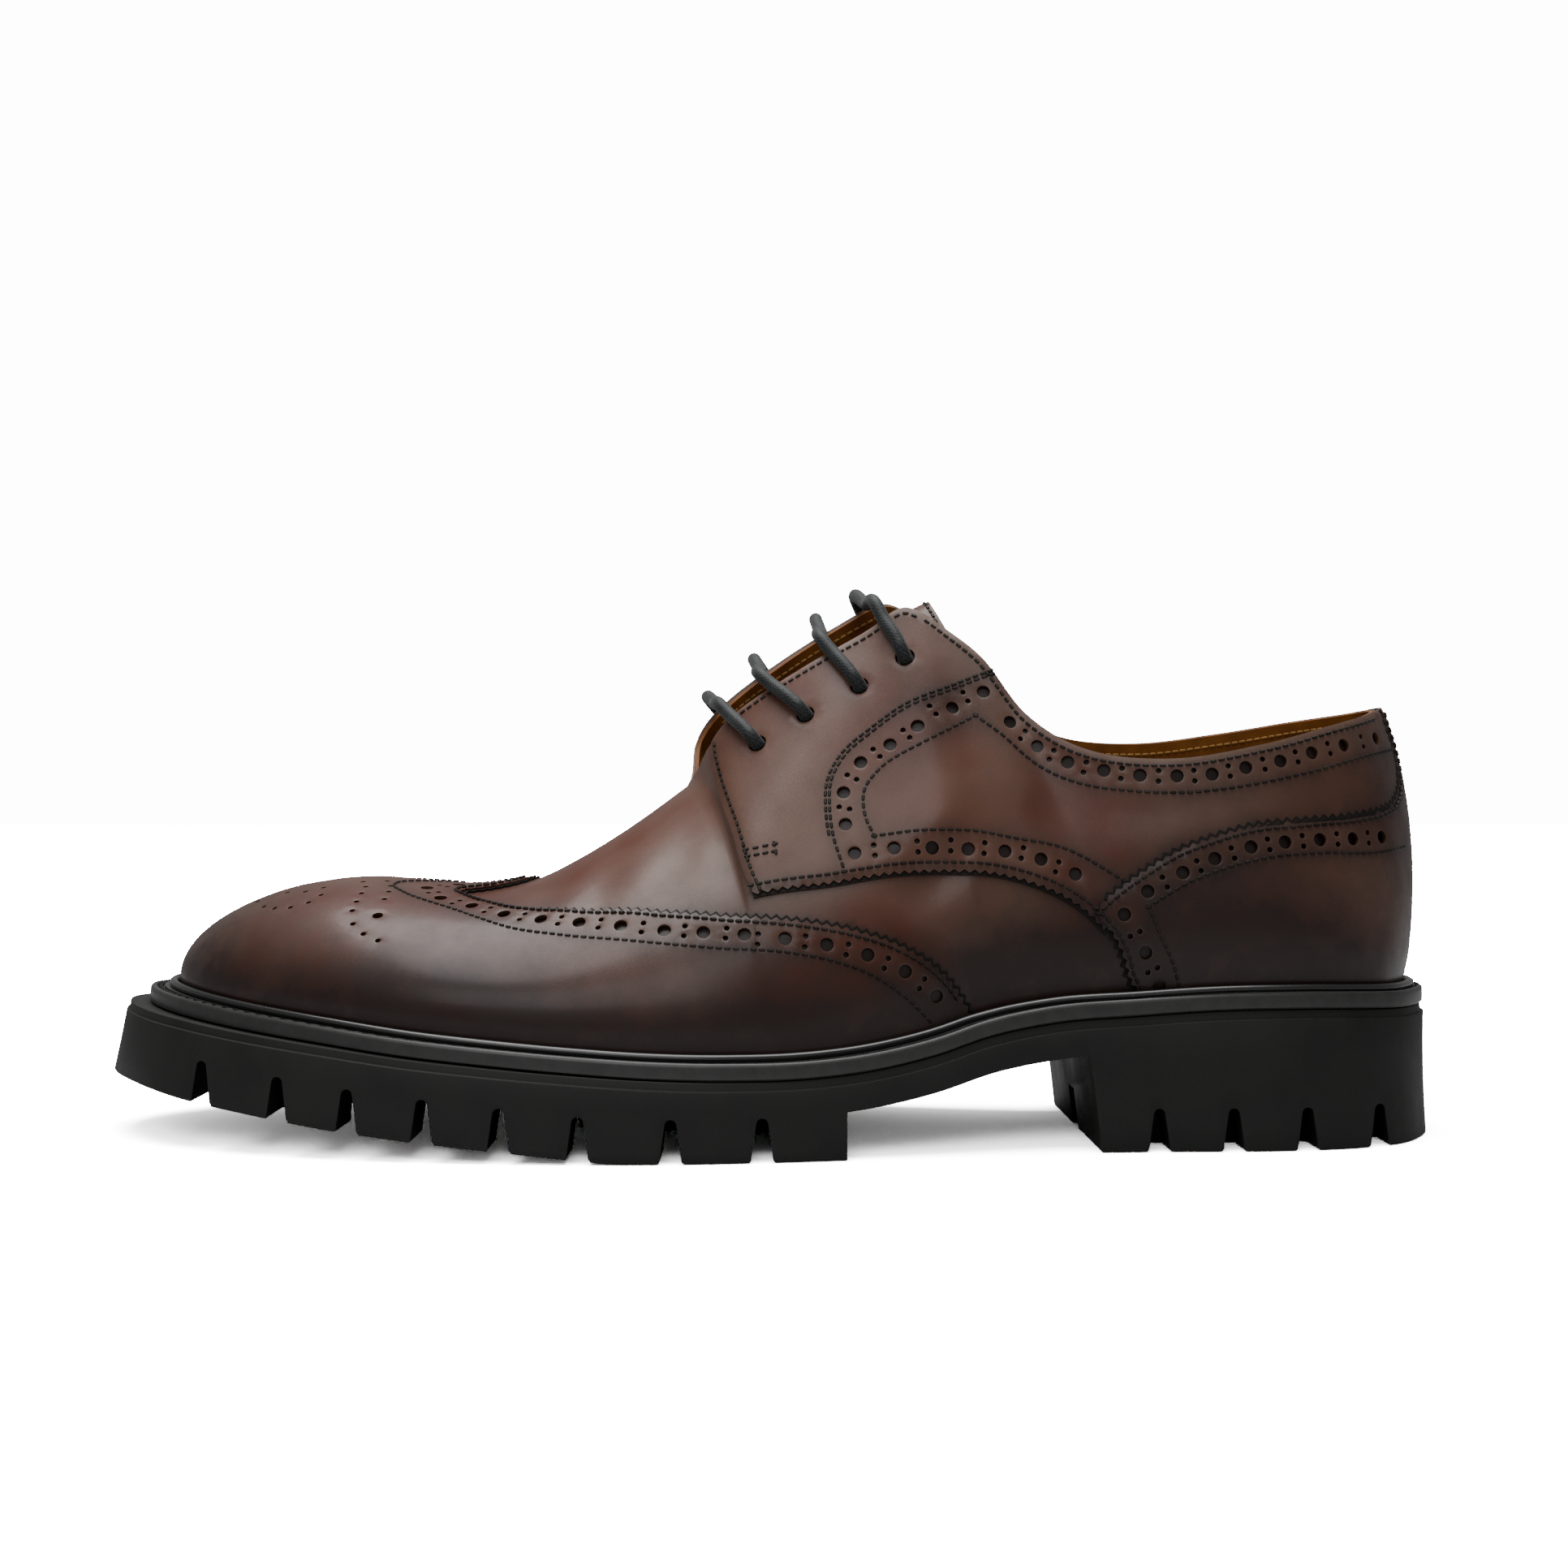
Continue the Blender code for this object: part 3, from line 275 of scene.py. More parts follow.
def seatHeight(x):
    along = (np.asarray(x) - frontX) / last["length"]
    toe = curveThrough(column(seatRows, 0), column(seatRows, 1), along)
    heel = curveThrough(column(seatRows, 0), column(seatRows, 2), along)
    return last["soleThickness"] + toe * last["toeLift"] + heel * last["heelLift"]


def levelNormals(points):
    ahead = np.roll(points, -1, 0) - np.roll(points, 1, 0)
    return unit(np.stack([ahead[:, 1], -ahead[:, 0], np.zeros(len(points))], 1))


def sideNet(inner):
    hand = 1 if inner else -1
    top = innerRows if inner else outerRows
    width = np.array([last[row[1]] for row in featherRows])
    x = frontX + last["length"] * column(featherRows, 0)
    y = hand * width * column(featherRows, 3 if inner else 2)
    feather = np.stack([x, y, seatHeight(x) + last["featherRise"]], 1)
    ridgeHand = np.where(np.arange(len(top)) < throat, -1, hand)
    x = frontX + last["length"] * column(top, 0)
    y = ridgeHand * np.array([last[row[1]] for row in top]) * column(top, 2)
    rise = np.array([last[row[3]] for row in top]) * column(top, 4)
    return feather, np.stack([x, y, seatHeight(x) + rise], 1)


def controlNet():
    # every section's four handles, out along the outer side and back along the inner
    outerFeather, outerEdge = sideNet(False)
    innerFeather, innerEdge = sideNet(True)
    feather = np.concatenate([outerFeather, innerFeather[-2:0:-1]])
    edge = np.concatenate([outerEdge, innerEdge[-2:0:-1]])
    section = np.concatenate([np.arange(sideCount + 1), np.arange(sideCount - 1, 0, -1)])
    swell, rise, pull, topSwell, drop = np.array(fullnessRows)[section].T[:, :, None]
    out = levelNormals(feather)
    height = (edge - feather)[:, 2:]
    closed = (section < throat)[:, None]
    up = np.array([0.0, 0.0, 1.0])
    lean = np.where(closed, 0.0, 1.0) * (edge - feather) * np.array([1.0, 0.0, 0.0])
    low = feather + out * swell * height + up * rise * height + lean * rise
    back = (feather - edge) * np.array([1.0, 1.0, 0.0])
    straight = back * np.array([0.0, 1.0, 0.0])
    high = edge + np.where(closed, back, straight) * pull + out * topSwell * height
    high = high - up * drop * height - lean * drop
    ridge = outerEdge[:throat]
    slope = np.gradient(ridge[:, 2], ridge[:, 0])
    climb = np.where(closed[:, 0], slope[np.clip(section, 0, throat - 1)], 0.0)[:, None]
    high = high + up * climb * (high - edge)[:, :1] * np.where(closed, 1.0, 0.0)
    return np.stack([feather, low, high, edge], 1)


net = controlNet()


def netAt(section):
    section = np.asarray(section, float) % loop
    i = np.floor(section).astype(int)
    f = (section - i)[..., None, None]
    before, here = net[(i - 1) % loop], net[i % loop]
    after, beyond = net[(i + 1) % loop], net[(i + 2) % loop]
    # the ridge runs on straight to the throat, where it parts
    ridge = np.array([0.0, 0.0, 1.0, 1.0])[:, None]
    parts = np.where((i == throat - 2)[..., None, None], ridge, 0.0)
    beyond = beyond + parts * (2 * after - here - beyond)
    parts = np.where((i == loop - throat + 1)[..., None, None], ridge, 0.0)
    before = before + parts * (2 * here - after - before)
    return here + 0.5 * f * (
        after
        - before
        + f * (2 * before - 5 * here + 4 * after - beyond + f * (3 * (here - after) + beyond - before))
    )


def folded(section, up):
    # past the closed ridge a column goes on down the other side
    section = np.asarray(section, float) % loop
    up = np.asarray(up, float)
    over = (up > 1.0) & (np.minimum(section, loop - section) < throat - 1)
    return np.where(over, (loop - section) % loop, section), np.where(over, 2.0 - up, up)


def lastPoint(section, up):
    section, up = folded(section, up)
    points = netAt(section)
    t = np.clip(up, 0.0, 1.0)[..., None]
    place = (
        points[..., 0, :] * (1 - t) ** 3
        + points[..., 1, :] * 3 * t * (1 - t) ** 2
        + points[..., 2, :] * 3 * t * t * (1 - t)
        + points[..., 3, :] * t**3
    )
    sink = np.clip(-up / last["skirt"], 0.0, 1.0)
    place[..., 2] -= sink * (last["featherRise"] - last["gap"])
    return place


def sideNormal(section, up):
    step = 0.02
    along = lastPoint(section + step, up) - lastPoint(section - step, up)
    rise = lastPoint(section, up + step) - lastPoint(section, up)
    return unit(np.cross(along, rise))


def lastNormal(section, up):
    # square to the leather; near the closed ridge both sides share one normal
    section, up = folded(section, up)
    own = sideNormal(section, np.clip(up, 0.0, 0.96))
    far = sideNormal((loop - section) % loop, np.full_like(up, 0.96))
    here = sideNormal(section, np.full_like(up, 0.96))
    share = np.clip((up - 0.86) / 0.14, 0.0, 1.0) ** 2
    share = share * np.clip(throat - np.minimum(section, loop - section), 0.0, 1.0)
    return unit(own + (0.5 * share)[..., None] * (far - here))


lengthSections = np.linspace(0, loop, 4 * loop + 1)
columnUps = np.linspace(0, 1, 25)
columnPoints = lastPoint(lengthSections[:, None] + 0 * columnUps, 0 * lengthSections[:, None] + columnUps)
lengths = np.linalg.norm(np.diff(columnPoints, axis=1), axis=2).sum(axis=1)
girth = runOf(lastPoint(lengthSections, 0 * lengthSections + 0.35))
fanEnd = 10.0  # section up to which the toe fans out from the ridge
toeEnd = 17.0  # section beyond which the toe's flat sheet isn't used


def flatSide(section, up):
    # leather laid flat beside its own girth, for the quarters and the heel
    section = np.asarray(section, float) % loop
    rise = up * np.interp(section, lengthSections, lengths)
    return np.stack([np.interp(section, lengthSections, girth), rise], -1)


def flatToe(section, up):
    # leather of the toe fanned out flat from the ridge, and on along the feather
    section, up = folded(section, up)
    outer = section <= sideCount
    turned = np.where(outer, section, loop - section)
    held = np.minimum(turned, fanEnd)
    held = np.where(outer, held, loop - held)
    foot = lastPoint(section, 0 * up)[..., :2]
    heldFoot = lastPoint(held, 0 * up)[..., :2]
    top = lastPoint(held, 0 * up + 1.0)[..., :2]

    def outAt(k):
        ahead = lastPoint(k + 0.05, 0 * up) - lastPoint(k - 0.05, 0 * up)
        return unit(np.stack([ahead[..., 1], -ahead[..., 0]], -1))

    rim = top + outAt(held) * np.interp(held, lengthSections, lengths)[..., None] + foot - heldFoot
    return rim - outAt(section) * (up * np.interp(section, lengthSections, lengths))[..., None]


def meshGrid(points):
    rows, wide = points.shape[:2]
    i, j = np.meshgrid(np.arange(rows - 1), np.arange(wide - 1), indexing="ij")
    a = (i * wide + j).ravel()
    return np.concatenate([np.stack([a, a + wide, a + wide + 1], 1), np.stack([a, a + wide + 1, a + 1], 1)])


gridSections = np.linspace(0, loop, 8 * loop + 1)
gridUps = np.linspace(-last["skirt"], 1.0, 60)
gridS, gridU = np.meshgrid(gridSections, gridUps, indexing="ij")
# the last column is the first again, and keeps its own number
gridPoints = lastPoint(gridS, gridU)
gridFaces = meshGrid(gridPoints)
gridPlaces = np.stack([gridS.ravel(), gridU.ravel()], 1)
gridFaces = gridFaces[np.argsort(gridPlaces[gridFaces].max(1)[:, 0] > sideCount, kind="stable")]
outerFaces = gridFaces[: len(gridFaces) // 2]
leatherTree = BVHTree.FromPolygons(gridPoints.reshape(-1, 3).tolist(), gridFaces.tolist())
outerTree = BVHTree.FromPolygons(gridPoints.reshape(-1, 3).tolist(), outerFaces.tolist())


def placesOf(hits, points, faces=None):
    # section and height share of hit points, from the corners of the faces they lie on
    chosen = (gridFaces if faces is None else faces)[[hit[2] for hit in hits]]
    corners = points.reshape(-1, 3)[chosen]
    place = np.array([tuple(hit[0]) for hit in hits])
    a, b, c = corners[:, 0], corners[:, 1], corners[:, 2]
    normal = np.cross(b - a, c - a)
    area = (normal * normal).sum(1)
    v = (np.cross(place - a, c - a) * normal).sum(1) / area
    w = (np.cross(b - a, place - a) * normal).sum(1) / area
    shares = np.stack([1 - v - w, v, w], 1)
    found = gridPlaces[chosen]
    return (shares[:, :, None] * found).sum(1)


def onLeather(points):
    return placesOf([leatherTree.find_nearest(Vector(p)) for p in points], gridPoints)


def flatGuide(flatten, chosen):
    # finds section and share from a flat point, for the faces whose sections are chosen
    flat = flatten(gridPlaces[:, 0], gridPlaces[:, 1])
    flat = np.concatenate([flat, np.zeros((len(flat), 1))], 1)
    wanted = gridFaces[chosen(gridPlaces[gridFaces][:, :, 0])]
    tree = BVHTree.FromPolygons(flat.tolist(), wanted.tolist())

    def find(points):
        hits = [tree.find_nearest(Vector((p[0], p[1], 0.0))) for p in points]
        return placesOf(hits, flat, wanted)

    return flatten, find


def besideSeam(sections):
    # the last column is the first again, so a face that touches it would lie across the whole sheet
    return sections.max(1) < loop - 0.01


sideGuide = flatGuide(flatSide, besideSeam)
toeGuide = flatGuide(flatToe, lambda k: (k.max(1) < toeEnd) | (k.min(1) > loop - toeEnd))


def cast(pixels):
    # photo pixels thrown from the camera onto the outer side
    hits = []
    for px, py in pixels:
        hit = (None,)
        while hit[0] is None:
            across = (px - view["middle"]) / view["focalPixels"]
            rise = (view["middle"] - py) / view["focalPixels"]
            hit = outerTree.ray_cast(Vector(view["place"]), Vector((across, 1.0, rise)).normalized())
            py += 1.0
        hits.append(hit)
    return placesOf(hits, gridPoints)


def lengthsOf(track):
    return runOf(lastPoint(track[:, 0], track[:, 1]))


def softTrack(track, step=0.4 * mm):
    at = lengthsOf(track)
    return smoothAt(at, track, np.linspace(0.0, at[-1], int(at[-1] / step) + 2))


def evenTrack(track, pitch=None, count=None):
    at = lengthsOf(track)
    count = count or max(2, round(at[-1] / pitch) + 1)
    return pointsAt(at, track, np.linspace(0.0, at[-1], count))


def frameAlong(track):
    # point, way ahead, way across to the left, and outward normal
    points = lastPoint(track[:, 0], track[:, 1])
    ahead = unit(np.gradient(points, axis=0))
    normal = lastNormal(track[:, 0], track[:, 1])
    return points, ahead, unit(np.cross(normal, ahead)), normal


def shifted(track, distance):
    points, ahead, across, normal = frameAlong(track)
    return onLeather(points + across * distance)


def mirrored(track):
    return np.stack([(loop - track[:, 0]) % loop, track[:, 1]], 1)


print("last surface ready")


def addNode(tree, kind, values=None, links=None, **settings):
    node = tree.nodes.new(kind)
    for key, value in settings.items():
        setattr(node, key, value)
    for key, value in (values or {}).items():
        node.inputs[key].default_value = value
    for key, source in (links or {}).items():
        tree.links.new(source, node.inputs[key])
    return node


def toLinear(hexColour):
    channels = [int(hexColour[k:k + 2], 16) / 255 for k in (0, 2, 4)]
    return [c / 12.92 if c <= 0.04045 else ((c + 0.055) / 1.055) ** 2.4 for c in channels] + [1.0]


def newMaterial(name, **shaderValues):
    material = bpy.data.materials.new(name)
    material.use_nodes = True
    tree = material.node_tree
    shader = tree.nodes["Principled BSDF"]
    for key, value in shaderValues.items():
        shader.inputs[key.replace("_", " ")].default_value = value
    return material, tree, shader


def mixColours(tree, factor, first, second):
    # first and second are hex strings or colour sockets
    node = addNode(tree, "ShaderNodeMix", {}, {0: factor}, data_type="RGBA")
    for slot, colour in ((6, first), (7, second)):
        if isinstance(colour, str):
            node.inputs[slot].default_value = toLinear(colour)
        else:
            tree.links.new(colour, node.inputs[slot])
    return node.outputs[2]


def rangeOf(tree, source, low, high, toLow=0.0, toHigh=1.0):
    values = {"From Min": low, "From Max": high, "To Min": toLow, "To Max": toHigh}
    return addNode(tree, "ShaderNodeMapRange", values, {"Value": source}).outputs["Result"]


def objectPlace(tree):
    return addNode(tree, "ShaderNodeTexCoord").outputs["Object"]


def attributeOf(tree, name):
    return addNode(tree, "ShaderNodeAttribute", attribute_name=name).outputs["Fac"]


def noise(tree, place, size, detail, roughness=0.5):
    values = {"Scale": 1 / size, "Detail": detail, "Roughness": roughness}
    return addNode(tree, "ShaderNodeTexNoise", values, {"Vector": place}).outputs["Fac"]


def added(tree, first, second):
    node = addNode(tree, "ShaderNodeMath", {}, {0: first, 1: second}, operation="ADD", use_clamp=True)
    return node.outputs[0]


def bumpOn(tree, shader, height, strength, depth):
    values = {"Strength": strength, "Distance": depth}
    node = addNode(tree, "ShaderNodeBump", values, {"Height": height})
    tree.links.new(node.outputs["Normal"], shader.inputs["Normal"])


calf = {
    "grey": "5d463b",       # greyish brown of worn polish on open panels, partly a painted soft-box highlight
    "red": "4d2110",        # tan dye showing through
    "dark": "1c0b06",       # burnish along seams, toe and heel, and painted shade low on the sides and in the holes
    "rawEdgeAndRimHighlight": "806858",       # raw cut edge of punched holes and folded edges; round the holes partly a painted rim highlight
    "patinaSize": 42 * mm,
    "mottleSize": 7 * mm,
    "grainSize": 0.75 * mm,  # pebble of the grain, drawn a little coarse to show
    "grainDepth": 0.035 * mm,
    "poreSize": 0.3 * mm,
}


def calfLeather():
    # calf, dyed tan and burnished dark by hand: cloudy colour mixed with a partly painted highlight and
    # painted shade, fine grain under a wax polish
    material, tree, shader = newMaterial(
        "burnishedCalf", IOR=1.45, Specular_IOR_Level=0.32,
        Coat_Weight=0.24, Coat_Roughness=0.20, Coat_IOR=1.45,
    )
    place = objectPlace(tree)
    cloud = noise(tree, place, calf["patinaSize"], 3.0)
    mottle = noise(tree, place, calf["mottleSize"], 4.0, 0.6)
    warm = added(tree, rangeOf(tree, cloud, 0.45, 0.71), attributeOf(tree, "warmth"))
    # the grey side of this mix is partly a painted highlight of the soft box
    body = mixColours(tree, warm, calf["grey"], calf["red"])
    deep = added(tree, attributeOf(tree, "burnishAndShade"), rangeOf(tree, mottle, 0.3, 0.75, -0.10, 0.14))
    # mixes in the burnish together with the painted shade carried by the same attribute
    burnishedAndShaded = mixColours(tree, deep, body, calf["dark"])
    colour = mixColours(tree, attributeOf(tree, "rawEdgeAndRimHighlight"), burnishedAndShaded, calf["rawEdgeAndRimHighlight"])
    tree.links.new(colour, shader.inputs["Base Color"])
    rough = rangeOf(tree, mottle, 0.3, 0.7, 0.38, 0.50)
    tree.links.new(rough, shader.inputs["Roughness"])
    grain = addNode(
        tree, "ShaderNodeTexVoronoi", {"Scale": 1 / calf["grainSize"], "Smoothness": 0.6}, {"Vector": place},
        feature="SMOOTH_F1",
    )
    pores = noise(tree, place, calf["poreSize"], 2.0)
    height = addNode(
        tree, "ShaderNodeMath", {1: 0.5}, {0: grain.outputs["Distance"], 2: pores}, operation="MULTIPLY_ADD"
    )
    bumpOn(tree, shader, height.outputs[0], 0.35, calf["grainDepth"])
    return material


calfMaterial = calfLeather()


def hideGrain(name, hexColour, second, roughness, size, depth):
    # matt stuff in two clouded colours with a soft nap: lining, threads, and inked cut edges that also paint
    # the shadow under the pinking
    material, tree, shader = newMaterial(name, Roughness=roughness, IOR=1.45, Specular_IOR_Level=0.25)
    place = objectPlace(tree)
    cloud = noise(tree, place, 9 * mm, 5.0)
    colour = mixColours(tree, rangeOf(tree, cloud, 0.35, 0.7), hexColour, second)
    tree.links.new(colour, shader.inputs["Base Color"])
    bumpOn(tree, shader, noise(tree, place, size, 3.0), 0.5, depth)
    return material


liningMaterial = hideGrain("vegetableTannedLining", "80501f", "5c3413", 0.5, 0.6 * mm, 0.05 * mm)
threadMaterial = hideGrain("waxedLinenThread", "120e0c", "2a2521", 0.5, 0.3 * mm, 0.03 * mm)
tanThread = hideGrain("tanLinenThread", "9a7440", "7a5528", 0.55, 0.3 * mm, 0.03 * mm)
inkAndShadowMaterial = hideGrain("inkedEdgeAndShadow", "070504", "120d0a", 0.6, 0.4 * mm, 0.06 * mm)


def meshObject(name, points, faces):
    mesh = bpy.data.meshes.new(name)
    mesh.from_pydata([tuple(map(float, p)) for p in points], [], [tuple(map(int, f)) for f in faces])
    made = bpy.data.objects.new(name, mesh)
    bpy.context.scene.collection.objects.link(made)
    return made


def dress(piece, material, angle, slotName, *replaced):
    piece.data.materials.append(material)
    piece.data.shade_smooth()
    piece.data.set_sharp_from_angle(angle=math.radians(angle))
    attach(piece, "root")
    if replaced:
        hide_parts(*replaced)


def turnOutward(mesh):
    work = bmesh.new()
    work.from_mesh(mesh)
    bmesh.ops.recalc_face_normals(work, faces=work.faces)
    work.to_mesh(mesh)
    work.free()


def joined(parts):
    # several parts, each its points and faces, as one
    points, faces = [], []
    for somePoints, someFaces in parts:
        base = len(points)
        points.extend(somePoints)
        faces += [tuple(base + k for k in face) for face in someFaces]
    return points, faces


def bandFaces(rows, count, closed=False):
    # quads between rings of as many points each
    faces = []
    for k in range(rows if closed else rows - 1):
        above = (k + 1) % rows
        for i in range(count):
            j = (i + 1) % count
            faces.append((k * count + i, k * count + j, above * count + j, above * count + i))
    return faces


def newPiece(name, points, faces, material, replaced, slotName, angle=40.0):
    piece = meshObject(name, points, faces)
    dress(piece, material, angle, slotName, *replaced)
    return piece


def setAttribute(piece, name, values):
    layer = piece.data.attributes.new(name, "FLOAT", "POINT")
    layer.data.foreach_set("value", np.asarray(values, np.float32))


# Bands and edges on the outer side, as photo pixels
bands = {
    "wing": {
        "edge": ((612, 1116), (633, 1120), (660, 1122), (709, 1123), (766, 1123), (819, 1125),
                 (890, 1129), (973, 1133), (1056, 1146), (1118, 1168), (1156, 1193), (1180, 1220),
                 (1197, 1249)),
        "holes": ((582, 1122), (622, 1132), (668, 1138), (715, 1141), (766, 1145), (819, 1150),
                  (867, 1152), (917, 1154), (967, 1158), (1018, 1165), (1068, 1177), (1114, 1197),
                  (1152, 1227)),
        "seam": ((566, 1129), (593, 1138), (626, 1148), (693, 1157), (766, 1162), (890, 1171),
                 (973, 1175), (1035, 1187), (1089, 1210), (1122, 1235), (1143, 1256)),
    },
    "quarter": {
        "edge": ((927.5, 1101), (965, 1094), (1015, 1088), (1097, 1075), (1180, 1071), (1238, 1077),
                 (1276, 1088), (1315, 1105), (1342, 1124), (1366, 1148)),
        "holes": ((1053, 1053), (1101, 1047), (1148, 1046), (1192, 1047), (1237, 1050), (1281, 1060),
                  (1324, 1078)),
        "seam": ((1077, 1032), (1139, 1025), (1200, 1025), (1250, 1034), (1315, 1048), (1353, 1067),
                 (1384, 1086)),
    },
    "facing": {
        "edge": ((1222, 833), (1180, 849), (1118, 874), (1077, 903), (1040, 936), (1025, 965), (1023, 998),
                 (1027, 1032), (1038, 1068)),
        "holes": ((1211, 855), (1172, 875), (1131, 897), (1097, 920), (1061, 942), (1040, 979), (1042, 1018)),
        "seam": ((1201, 884), (1139, 916), (1081, 953), (1066, 974), (1066, 1007), (1077, 1032)),
    },
    "collar": {
        "holes": ((1243, 892), (1278, 921), (1316, 940), (1360, 950), (1404, 956), (1449, 957), (1492, 955),
                  (1533, 947), (1575, 939), (1613, 929), (1651, 920), (1689, 912)),
        "seam": ((1201, 884), (1231, 906), (1261, 933), (1296, 954), (1334, 967), (1391, 975), (1468, 977),
                 (1544, 967), (1621, 950), (1678, 933), (1709, 925)),
    },
    "counter": {
        "edge": ((1342, 1124), (1372, 1098), (1410, 1071), (1449, 1048), (1487, 1033), (1544, 1017),
                 (1602, 1011), (1659, 1006), (1690, 1000)),
        "holes": ((1413, 1099), (1456, 1076), (1495, 1059), (1539, 1045), (1580, 1039), (1622, 1036),
                  (1661, 1035), (1695, 1033)),
        "seam": ((1414, 1117), (1468, 1086), (1506, 1071), (1564, 1057), (1621, 1052), (1697, 1050),
                 (1720, 1044)),
    },
    "counterFront": {
        "edge": ((1399, 1222), (1391, 1209), (1380, 1174), (1365, 1147), (1342, 1124)),
        "holes": ((1427, 1214), (1410, 1173), (1384, 1127)),
        "seam": ((1451, 1212), (1445, 1189), (1430, 1155), (1414, 1117)),
    },
    "strip": {
        "edge": ((1708, 990), (1714, 975), (1714, 950), (1709, 925), (1699, 895), (1695, 880)),
        "holes": ((1725, 985), (1722, 955), (1716, 925)),
    },
}
facingFront = ((878, 906), (880, 935), (886, 965), (903, 1023), (921, 1086), (927.5, 1101))
toothPitch = 2.25 * mm
toothDepth = 0.8 * mm
punch = {"big": 1.55 * mm, "bigSides": 12, "small": 0.68 * mm, "smallSides": 7, "pair": 1.2 * mm}


def pixelCurve(pixels, step=3.0):
    # smooth line through photo pixels, to be cast point by point
    pixels = np.array(pixels, float)
    at = runOf(pixels)
    return smoothAt(at, pixels, np.linspace(0.0, at[-1], int(at[-1] / step) + 2))


def bandTrack(name, key):
    return softTrack(cast(pixelCurve(bands[name][key])))


def ring(place, radius, count):
    # round hole in the leather about one place
    points, ahead, across, normal = frameAlong(np.array([place, place + [0.01, 0.0]]))
    angles = np.arange(count) * 2 * math.pi / count
    ahead = ahead[0]
    across = np.cross(normal[0], ahead)
    spokes = np.cos(angles)[:, None] * ahead + np.sin(angles)[:, None] * across
    return onLeather(points[0] + radius * spokes)


def punchedAlong(places, pairs=True):
    # big holes with a pair of small ones across the band between them
    rings = [(place, punch["big"], punch["bigSides"]) for place in places]
    if pairs:
        half = (places[1:] + places[:-1]) / 2
        for side in (-1, 1):
            small = shifted(half, side * punch["pair"])
            rings += [(place, punch["small"], punch["smallSides"]) for place in small]
    return rings


def pinked(track):
    # zigzag cut: points on the line, and points a tooth deep inside the panel
    steps = 2 * max(2, round(lengthsOf(track)[-1] / toothPitch))
    walk = evenTrack(track, count=steps + 1)
    inside = shifted(walk, -toothDepth)
    walk[1::2] = inside[1::2]
    return walk


def resampled(track, pitch=1.2 * mm):
    return evenTrack(track, pitch)


def insideOf(outline, points):
    # even number of crossings is outside
    x, y = points[:, 0][:, None], points[:, 1][:, None]
    a, b = outline, np.roll(outline, -1, 0)
    cross = (a[:, 1] > y) != (b[:, 1] > y)
    with np.errstate(divide="ignore", invalid="ignore"):
        at = (b[:, 0] - a[:, 0]) * (y - a[:, 1]) / (b[:, 1] - a[:, 1]) + a[:, 0]
    return (cross & (x < at)).sum(1) % 2 == 1


def treeOf(points):
    tree = KDTree(len(points))
    for k, point in enumerate(points):
        tree.insert(Vector((point[0], point[1], point[2] if len(point) > 2 else 0.0)), k)
    tree.balance()
    return tree


def distances(tree, points):
    return np.array(
        [tree.find(Vector((p[0], p[1], p[2] if len(p) > 2 else 0.0)))[2] for p in points]
    )


panelCut = {
    "spacing": 1.9 * mm,      # between the points inside a panel
    "guard": 0.5 * mm,        # from a hole to the ring of points about it
    "clear": 0.2 * mm,
    "edgeFall": 0.35 * mm,    # how far the skived outer edge falls, and over what width
    "edgeWidth": 0.8 * mm,
    "holeFall": 0.10 * mm,
    "holeWidth": 0.5 * mm,
    "turnedFrom": 0.993,      # height share from which the leather is turned in at the top
    "rawCutAndRimHighlight": 0.07,          # how much raw leather shows at cuts, where it is partly a painted rim highlight, and at the turned top
    "bareTurned": 0.28,
}
# filled by each panel, so that the sheet below can be painted dark as shade under its holes
holeCentres = []


